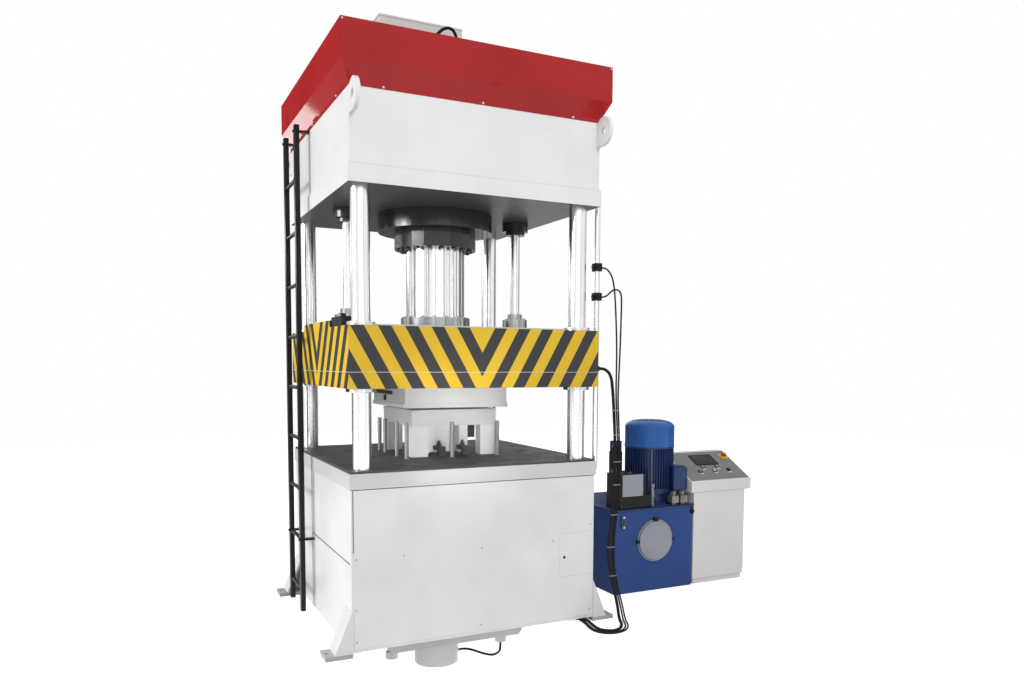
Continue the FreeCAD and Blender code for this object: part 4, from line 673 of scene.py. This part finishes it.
def bolt(radius, height, washer=1.25):
    """A chamfered hexagon on a thin round washer."""
    return together(
        raised(disc(radius * washer, 24), [(0.5, 0), (0, 0.4), (0, 2.0), (0.6, 2.4)]),
        placed(raised(disc(radius, 6), [(0, 0), (0, 0.8 * height), (0.12 * radius, height)]),
               (0, 0, 2.2)))


def circle(centre, radius, count, height, start):
    """Points round an upright axis, the first at the angle start."""
    turn = start + np.arange(count) * TAU / count
    return extended(centre + radius * towards(turn), height)


def bead(path, radius, looped=False):
    """A weld bead along straight runs, rippled every 7 mm: radius (1 + 0.12 sin of the way)."""
    path = np.array(path, float)
    ends = np.roll(path, -1, axis=0) if looped else path[1:]
    runs = [np.linspace(start, end, int(np.linalg.norm(end - start) // 3.5), endpoint=False)
            for start, end in zip(path, ends)]
    line = np.vstack(runs)
    return swept(line, radius * (1 + 0.12 * (-1.0) ** np.arange(len(line))), 8, looped)


def frame_of(x, y, z):
    """The four corners of a level rectangle, anticlockwise."""
    return [(-x, -y, z), (x, -y, z), (x, y, z), (-x, y, z)]


FRONT, LEFT, RIGHT, BACK = (0, -1, 0), (-1, 0, 0), (1, 0, 0), (0, 1, 0)

RETURN_RODS = (-595, 595)    # x of the return rods
SWITCHES = (2287, 2100)      # levels of the limit switches

# bed
PANEL_SCREWS = [(-488, 560), (3, 559), (494, 555), (-766, 562), (-766, 272), (-766, 87),
                (766, 87), (766, 640), (0, 87)]
piece("panel_screws", at_each(screw(5, 4), [(x, -781, z) for x, z in PANEL_SCREWS], FRONT),
      drawn_steel)
# The weld beads on the bed are dark grey: painted shade along the welds.
piece("bed_side_welds", together(
    *[bead([(x, -743, 531), (x, 253, 531)], 3.0) for x in (-792, 792)],
    bead(frame_of(792, 777, 960), 3.0, True)), painted_weld_shade)
# Black strips up both sides of the bed, in line with the ladder's front stile: a painted shadow of
# the stile.
piece("bed_side_shadow_strips", together(*[slab((x, 242, 30), (x + 2.2, 249, 958), 0.4, 0.6)
                                   for x in (-793.2, 791)]), black_nylon)
# Black strips in the gaps along the front panel's top and left edge: painted shade in the gaps.
piece("panel_gap_shade_strips", together(slab((-783, -778.6, 600), (-779.4, -776.5, 955), 0.3, 0.5),
                             slab((-779, -778.6, 955.3), (779, -776.5, 959.7), 0.3, 0.5)),
      black_nylon)
lock_face = raised(disc(9, 20), [(0, 0), (0, 0.6), (1, 1.4), (5, 1.4), (5.5, 0.6)])
piece("door_lock_face", placed(lock_face, (573, -785, 444), FRONT), black_nylon, "door")

# slide and columns
COLUMNS = [(x, y) for x in (-702, 702) for y in (-690, 690)]
# The bead round the slide is pale grey: a painted highlight along the weld.
piece("slide_weld", bead(frame_of(801, 794, 1617), 1.8, True), grey_satin, "slide")
piece("column_wipers", at_each(collar(66, 55.5, 24, 2), [(x, y, 1525) for x, y in COLUMNS],
                               (0, 0, -1)), bright_steel, "slide")
piece("wiper_blocks", together(*[slab((x - 88, y - 20, 1505), (x - 56, y + 14, 1525), 1, 2)
                                 for x, y in COLUMNS]), black_nylon, "slide")
piece("slide_side_rail", slab((-801, -350, 1877), (-785, 382, 1920), 1, 1.5), rail_enamel,
      "slide")
oiler_cap = raised(disc(17, 20), [(1, 0), (0, 1), (0, 15), (3, 20)])
piece("lubricator_cap", placed(oiler_cap, (-760, -515, 1935)), black_nylon, "slide")
piece("die_clamp_bar", together(slab((-325, -20, 1462), (-309, 430, 1484), 1, 1.5),
                                slab((-327, 118, 1418), (-309, 132, 1456), 1, 2)),
      black_oxide, "slide")
piece("die_stop_block", slab((279, 115, 1145), (337, 145, 1261), 1, 2), black_oxide)
piece("return_rod_bolts", together(*[
    at_each(bolt(9, 8), circle((x, 0), 68, 6, 1976, 0.3)) for x in RETURN_RODS]),
    blued_steel, "slide")
piece("return_rod_collars", together(
    at_each(collar(86.6, 33, 86.4, 2, 48), [(x, 0, 1890.2) for x in RETURN_RODS]),
    at_each(collar(50.6, 33, 39.4, 2, 40), [(x, 0, 1976.2) for x in RETURN_RODS])),
    blued_steel, "slide")
gland_dome = raised(disc(20, 12), [(0, 0), (0, 9), (3, 15), (9.4, 17)])
piece("slide_gland_nut", together(placed(nut(22, 12), (802, -750, 1640), RIGHT),
                                  placed(gland_dome, (815, -750, 1640), RIGHT)),
      black_nylon, "slide")

# crown and cover
# The bead in the crown's step is dark grey: painted shade along the weld.
piece("crown_step_weld", bead(frame_of(788, 801, 2747), 3.0, True), painted_weld_shade)
piece("cover_screws", together(
    *[at_each(bolt(5.5, 5), [(x, y, 3167) for x in (-597, -4, 594)], way)
      for y, way in ((-805, FRONT), (805, BACK))],
    *[at_each(bolt(5.5, 5), [(x, y, 3167) for y in (-547, 79, 640)], way)
      for x, way in ((-792, LEFT), (792, RIGHT))],
    *[at_each(screw(5, 3), [(x, y, 3473) for x in (-833, 833)], way)
      for y, way in ((-856, FRONT), (856, BACK))]), white_acetal)
piece("roof_box_lid", slab((-544, -553, 3652), (-29, -417, 3664), 1.5, 4), grey_satin)
hose_dome = raised(disc(19, 12), [(0, 0), (0, 6), (9, 9)])
piece("roof_glands", together(placed(nut(21, 10), (-207, -551, 3588), FRONT),
                              placed(hose_dome, (-207, -561, 3588), FRONT),
                              placed(nut(21, 10), (-95, -624, 3485.5)),
                              placed(hose_dome, (-95, -624, 3496))), black_nylon)

# ladder and limit switches
RUNGS = [160 + 336 * number for number in range(9)]
LADDER_ENDS = [(-885, y, z) for y in (200, 555) for z in (496, 3146)]
piece("ladder_bolts", at_each(bolt(9, 7), LADDER_ENDS, LEFT), black_satin)
piece("rung_welds", together(*[
    at_each(collar(18, 12.5, 4, 1.5, 20), [(-870, y, z) for z in RUNGS], way)
    for y, way in ((222.5, BACK), (532.5, FRONT))]), black_satin)
knob = raised(disc(13, 14), [(1, 0), (0, 1), (0, 11), (2, 14)])
piece("switch_knobs", at_each(knob, [(820, -700, z) for z in SWITCHES], LEFT), black_nylon)
lead_nut = raised(disc(14, 6), [(1, 0), (0, 1), (0, 7), (3, 9), (7, 10)])
piece("switch_gland_nuts", at_each(lead_nut, [(864, -700, z) for z in SWITCHES], RIGHT),
      black_nylon)

# oil tank and what stands on it
TANK_FRONT, TANK_TOP = -343, 615
piece("tank_edge_bar", slab((1286, -347, 613), (1939, -337, 622), 1, 2), black_nylon)
latch_knob = raised(disc(17, 20), [(2, 0), (0, 2), (0, 12), (3, 17), (9, 19)])
piece("tank_latch", together(placed(latch_knob, (1921, TANK_FRONT, 566), FRONT),
                             slab((1912, -352, 578), (1930, TANK_FRONT, 606), 1, 3)),
      black_nylon)
round_lid = raised(disc(155, 96), [
    (0, 0), (0, 7), (1, 8), (7, 8), (8, 6), (9, 6), (10, 16), (11.5, 19), (14, 20.5),
    (60, 21.5), (150, 22)])
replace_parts(piece("clean_out_lid", placed(round_lid, (1587, TANK_FRONT, 375), FRONT),
                  turned_aluminium), "clean_out_cover")
CLIPS = [(1434, 375, 30, 22), (1740, 375, 30, 22), (1587, 528, 42, 30)]
piece("clean_out_clips", together(*[
    placed(raised(pad(wide, tall, 5), [(0, -1), (0, 17), (2, 20)]), (x, TANK_FRONT, z), FRONT,
           RIGHT) for x, z, wide, tall in CLIPS]), black_nylon)
gauge_pane = raised(pad(52, 15, 7), [(0, 0), (0, 1.5), (2, 2.5)])
piece("gauge_window", placed(gauge_pane, (1305, -357, 530), FRONT), display_glass)
piece("gauge_bolts", at_each(bolt(8, 6), [(1305, -357, 493), (1305, -357, 567)], FRONT),
      blued_steel)
piece("motor_tie_rod", together(swept([(1634, -225, z) for z in (714, 800, 950, 1046)], 3.0),
                                at_each(bolt(7, 7), [(1634, -225, 712)])), turned_aluminium)


def cowl(radius=188, low=1046, shoulder=1194, top=1245, flat=76, slots=12, sheet=3):
    """A sheet dome: above the shoulder, height follows a quarter ellipse out from the flat.

    The grid runs outwards from the hub over the dome and down the skirt, with eight columns to
    a slot; quads are left out where a slot lets the fan breathe.  The inner skin is the same
    grid one sheet further in, and walls join the two round the slots and along the foot.
    """
    lean = np.linspace(0, 1, 14) ** 0.7 * TAU / 4
    across = np.concatenate([[14, 34, 55], flat + (radius - flat) * np.sin(lean), [radius] * 4,
                             [radius + 2, radius + 2, radius]])
    height = np.concatenate([[top] * 3, shoulder + (top - shoulder) * np.cos(lean),
                             [1170, 1120, 1080, 1062, 1060, 1047, low]])
    rows, columns = len(across), slots * 8
    turn = np.arange(columns) * TAU / columns
    skins = []
    for inset in (0, sheet):
        out = (across - inset)[:, None]
        level = (height - inset * (height > 1100))[:, None]
        skins.append(np.stack([out * np.cos(turn), out * np.sin(turn),
                               np.repeat(level, columns, axis=1)], -1).reshape(-1, 3))
    grid = np.arange(rows * columns).reshape(rows, columns)
    behind = rows * columns
    beside = np.roll(grid, -1, axis=1)
    sheeted = np.ones((rows - 1, columns), bool)
    sheeted[1:4, np.arange(columns) % 8 < 3] = False
    quads = np.stack([grid[:-1], grid[1:], beside[1:], beside[:-1]], -1)[sheeted]
    sides = np.concatenate([np.stack([quads[:, k], quads[:, (k + 1) % 4]], -1)
                            for k in range(4)])
    size = 2 * behind
    rim = sides[~np.isin(sides @ [size, 1], sides @ [1, size])]
    rim = rim[(rim >= columns).any(axis=1)]
    walls = np.stack([rim[:, 1], rim[:, 0], rim[:, 0] + behind, rim[:, 1] + behind], -1)
    return np.vstack(skins), [*quads.tolist(), *(quads[:, ::-1] + behind).tolist(),
                              *walls.tolist(), grid[0].tolist(),
                              (grid[0, ::-1] + behind).tolist()]


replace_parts(piece("fan_cowl", placed(cowl(), (1722, -65, 0)), cowl_blue), "fan_cover")
fitting = raised(disc(16, 24), [
    (3, 0), (0, 3), (0, 22), (5, 26), (5, 62), (1, 66), (1, 92), (4, 96), (4, 138), (0, 142),
    (0, 158), (4, 165)])
piece("pressure_fitting", placed(fitting, (1617, -262, TANK_TOP)), turned_aluminium)
blank_plate = raised(pad(159, 178, 6), [(0, 0), (0, 5), (1, 6)])
piece("manifold_blank_plate", placed(blank_plate, (1392, -332, 791), FRONT), turned_aluminium)
PLATE_SCREWS = [(x, -332, z) for x, z in ((1299, 640), (1299, 690), (1299, 860), (1496, 690),
                                          (1496, 860))]
piece("manifold_screws", at_each(screw(7, 5), PLATE_SCREWS, FRONT), black_oxide)
PLUGS = [(x, y, 870) for x in (1330, 1400) for y in (-280, -200)]
piece("manifold_plugs", at_each(bolt(15, 12, 1.15), PLUGS), black_oxide)
PIPES = [[(1310, -180, 868), (1310, -180, 960), (1310, -178, 1010), (1330, -160, 1050),
          (1375, -110, 1062), (1430, -60, 1050), (1452, -30, 1000), (1456, -20, 930),
          (1456, -20, 780), (1456, -20, TANK_TOP)],
         [(1360, -170, 868), (1360, -168, 930), (1362, -150, 975), (1380, -110, 990),
          (1400, -60, 975), (1404, -40, 920), (1404, -36, 780), (1404, -36, TANK_TOP)]]
PIPE_ENDS = [(1310, -180, 870), (1360, -170, 870), PIPES[0][-1], PIPES[1][-1]]
piece("return_pipes", together(*[swept(line_of(route), 13, 14) for route in PIPES]),
      black_satin)
piece("pipe_nuts", at_each(nut(21, 26, 3, 4), PIPE_ENDS), black_oxide)
box_lid = raised(pad(170, 124, 10), [(0, 0), (0, 28), (2, 30)])
piece("terminal_box_lid", placed(box_lid, (1842, -275, 812), FRONT), motor_blue)
LID_SCREWS = [(x, -305, z) for x in (1790, 1894) for z in (740, 884)]
piece("terminal_box_screws", at_each(screw(4, 3), LID_SCREWS, FRONT), motor_blue)

# control desk
SLOPE = math.radians(28.2)
DESK_UP = (0, -math.sin(SLOPE), math.cos(SLOPE))
DESK_FRONT, DESK_EDGE = -343, 787
# Where things sit on the desk: x, and the way up the slope from its front edge.
SCREEN, STOP = (2209, 266), (2437, 304)
BUTTONS = [(2080, 122), (2219, 122), (2358, 122)]
LAMPS = [(2142, 176), (2280, 176)]


def on_desk(shape, x, along, lift=0.0):
    """Puts a shape on the sloping panel, so far from its front edge and so high above it."""
    y = DESK_FRONT + along * math.cos(SLOPE) - lift * math.sin(SLOPE)
    z = DESK_EDGE + along * math.sin(SLOPE) + lift * math.cos(SLOPE)
    return placed(shape, (x, y, z), DESK_UP, RIGHT)


piece("desk_lip", slab((1914, -350, 704), (2488, -341, 789), 3, 4), powder_grey)
panel = raised(pad(556, 371, 6), [(0, -0.5), (0, 0.9), (0.6, 1.4)])
piece("desk_panel", on_desk(panel, 2201, 194.5), powder_desk)
bezel = raised(pad(216, 138, 8), [(0, 0), (0, 5), (1.5, 6.5), (9, 6.8), (10, 5.4)])
piece("screen_bezel", on_desk(bezel, *SCREEN), black_nylon)
pane = raised(pad(194, 116, 2), [(0, 5.3), (0, 5.9), (0.4, 6.1)])
piece("screen_glass", on_desk(pane, *SCREEN), display_glass)
square = raised(pad(66, 66, 10), [(0, 1.2), (0, 2.2), (0.6, 2.8)])
piece("stop_plate", on_desk(square, *STOP), yellow_nylon)
piece("stop_collar", on_desk(collar(28, 12, 4.6, 1.2), *STOP, 2.6), yellow_nylon)
piece("button_rings", together(*[on_desk(collar(19, 11.6, 5, 1.5), x, along, 1.2)
                                 for x, along in BUTTONS + LAMPS]), black_nylon)
lens = raised(disc(11.4, 24), [(0, 2), (0, 6), (1.5, 8.4), (5, 10), (9, 10.6)])
piece("lamp_lenses", together(*[on_desk(lens, x, along) for x, along in LAMPS]), pale_nylon)
label = raised(pad(30, 10, 1.5), [(0, 1.2), (0, 2.0)])
piece("desk_labels", together(*[on_desk(label, x, along - 30)
                                for x, along in BUTTONS + LAMPS]), white_acetal)


# -------- ties round the cables

def tie(level):
    """A band round the cables at one height: the hull of their circles, from its support.

    The support at angle t is the largest centre(i) . n(t) + radius(i), and the band's point is
    support n + support' n'.
    """
    count = 48
    turn = np.arange(count) * TAU / count
    out = towards(turn)
    spots = [(line[np.argmin(np.abs(line[:len(line) * 2 // 3, 2] - level))][:2], radius)
             for line, radius in ((slide_line, 10), (upper_line, 5.5), (lower_line, 5.5))]
    support = np.max([out @ spot + radius for spot, radius in spots], axis=0)
    slope = (np.roll(support, -1) - np.roll(support, 1)) / (2 * TAU / count)
    hull = support[:, None] * out + slope[:, None] * np.column_stack([-out[:, 1], out[:, 0]])
    section = [(1.2, -2.0), (1.2, 2.0), (0.1, 2.0), (0.1, -2.0)]
    return lofted(np.stack([extended(hull + reach * out, level + rise)
                            for reach, rise in section]), True)


TIE_LEVELS = (1369, 1209, 1033, 882, 686, 477, 290)
cable_ties = piece("cable_ties", together(*[tie(level) for level in TIE_LEVELS]), pale_nylon,
                   body=None)
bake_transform(cable_ties)


# -------- camera, light and floor

WHITE = (1, 1, 1, 1)


def aimed(item, place, right, above, away):
    """Puts a camera or a lamp at a place, with its own three axes along these directions."""
    turn = Matrix(np.array([right, above, away]).T.tolist()).to_4x4()
    item.matrix_world = Matrix.Translation(place) @ turn


def camera():
    """The photograph's camera, solved from the edges of bed, slide, crown and columns.

    Its place is in metres, its turns are in radians, and its lens is in millimetres.
    """
    place = (-1.943, -5.236, 1.667)
    heading, pitch, roll = 0.456678, -0.0741754, 0.0051761
    ahead = np.array([math.sin(heading) * math.cos(pitch), math.cos(heading) * math.cos(pitch),
                      math.sin(pitch)])
    right = np.array([math.cos(heading), -math.sin(heading), 0])
    above = np.cross(right, ahead)
    turned_right = math.cos(roll) * right + math.sin(roll) * above
    turned_above = math.cos(roll) * above - math.sin(roll) * right
    data = bpy.data.cameras.new("camera")
    data.sensor_width, data.lens = 36, 28.68
    data.shift_x, data.shift_y = -0.0063, 0.0811
    item = shown("camera", data)
    aimed(item, place, turned_right, turned_above, -ahead)
    bpy.context.scene.camera = item


def seen_directly(tree):
    """1 for rays from the camera, a mirror or through glass, and 0 for rays of soft light."""
    ray = add(tree, "LightPath").outputs
    some = reckon(tree, "ADD", ray["Is Camera Ray"], ray["Is Glossy Ray"])
    return reckon(tree, "ADD", some, ray["Is Transmission Ray"], use_clamp=True)


def white_world(soft):
    """A white background whose soft light on the object is weaker than what the camera sees."""
    world = bpy.data.worlds.new("studio")
    tree = emptied(world)
    level = ranged(tree, seen_directly(tree), soft, 1.0)
    back = add(tree, "Background", {"Color": WHITE, "Strength": level})
    add(tree, "OutputWorld", {"Surface": back})
    bpy.context.scene.world = world


def pale_floor():
    """A wide floor at z = 0 with the pit that the cushion cylinder hangs in.

    Each glows by one strength for the camera and mirrors and by another for soft light.
    """
    wide, deep = 14.0, 0.5
    left, right, front, back = -0.72, 0.64, -1.18, 0.70
    rim = [(left, front), (right, front), (right, back), (left, back)]
    corners = [*frame_of(wide, wide, 0), *[(x, y, z) for z in (0, -deep) for x, y in rim]]
    faces = [(k, n, n + 4, k + 4) for low in (0, 4)
             for k, n in zip(range(low, low + 4), (low + 1, low + 2, low + 3, low))]
    mesh = bpy.data.meshes.new("floor")
    mesh.from_pydata(corners, [], [*faces, (8, 9, 10, 11)])
    for name, strength, soft in (("pale_painted_floor", 0.8, 0.0), ("pale_pit", 0.97, 0.3)):
        material = bpy.data.materials.new(name)
        tree = emptied(material)
        lit = add(tree, "BsdfDiffuse", {"Color": (0.6, 0.6, 0.6, 1)})
        glow = ranged(tree, seen_directly(tree), soft, strength)
        white = add(tree, "Emission", {"Color": WHITE, "Strength": glow})
        add(tree, "OutputMaterial", {"Surface": add(tree, "AddShader", {0: lit, 1: white})})
        mesh.materials.append(material)
    mesh.polygons.foreach_set("material_index", [0] * 4 + [1] * 5)
    shown("floor", mesh)


def softbox(name, place, target, width, power, spread=180, mirrored=True):
    """A square lamp that looks at a point, with a grid that keeps its light within spread."""
    data = bpy.data.lights.new(name, "AREA")
    data.spread = math.radians(spread)
    data.size = width
    data.energy = power
    item = shown(name, data)
    item.visible_glossy = mirrored
    away = unit(np.array(place) - np.array(target))
    right = unit(np.cross([0, 0, 1], away))
    aimed(item, place, right, np.cross(away, right), away)


def card(name, bearing, width, low=-0.2, high=4.0, distance=6.2, shade=0.03, glow=0.0):
    """An upright board round the studio that only mirrors see, for streaks on chrome and gloss.

    Its middle is at the bearing, in degrees from +x, and it stands from low to high in metres.
    """
    bearing = math.radians(bearing)
    middle = distance * np.array([math.cos(bearing), math.sin(bearing)])
    half = width / 2 * np.array([-math.sin(bearing), math.cos(bearing)])
    mesh = bpy.data.meshes.new(name)
    corners = [(*(middle + way * half), z)
               for way, z in ((-1, low), (1, low), (1, high), (-1, high))]
    mesh.from_pydata(corners, [], [(0, 1, 2, 3)])
    material = bpy.data.materials.new(name)
    tree = emptied(material)
    board = add(tree, "BsdfPrincipled", {"Base Color": (shade, shade, shade, 1),
                                         "Emission Color": WHITE, "Emission Strength": glow})
    add(tree, "OutputMaterial", {"Surface": board})
    mesh.materials.append(material)
    item = shown(name, mesh)
    item.visible_camera = item.visible_diffuse = item.visible_shadow = False


camera()
white_world(0.66)
pale_floor()
softbox("key", (-10.6, 0.4, 5.6), (-0.2, -0.2, 2.1), 4.5, 675)
softbox("front_fill", (0.0, -7.6, 5.4), (0.2, -0.4, 2.6), 3.5, 225, mirrored=False)
softbox("gap_light", (-2.0, -6.0, 1.20), (0.10, -0.1, 1.35), 0.6, 0.74, spread=6.0,
        mirrored=False)

# Bearings and widths of the narrow dark boards that draw the thin upright streaks in the chrome.
STREAKS = [(196, 0.35), (206, 0.12), (215, 0.25), (226, 0.10), (238, 0.14), (251, 0.30),
           (262, 0.10), (271, 0.12), (283, 0.34), (294, 0.12), (306, 0.22), (322, 0.16),
           (340, 0.5), (160, 0.5), (20, 0.5)]
for number, (bearing, width) in enumerate(STREAKS):
    card(f"card_{number}", bearing, width)

# Grey boards far round to each side, which darken the edges of the columns and rods.
card("left_edge", 98, 7.0, 1.5, 4.0, 6.1, glow=0.27)
card("left_edge_low", 104, 10.0, -0.2, 1.5, 6.0, glow=0.05)
card("right_edge", 22, 6.5, 1.5, 4.0, 6.1, glow=0.12)
card("right_edge_low", 14, 9.0, -0.2, 1.5, 6.0, glow=0.05)

# A bright board for the gland ring's glint, and a white one that the front of the chrome sees.
card("gland_glint", 190.5, 2.3, 3.2, 4.3, 7.0, glow=26.0)
card("front_white", 258, 5.5, -0.2, 4.3, 6.8, 0.8, 0.8)

# A dark board that keeps the cover's left face red, and a bright strip for its slope's glint.
card("high_card", 112, 7.0, 4.3, 9.0, 8.0)
card("slope_glint", 111, 1.4, 2.94, 3.44, 5.9, 0.8, 7.0)
bpy.context.scene.view_settings.view_transform = "Standard"
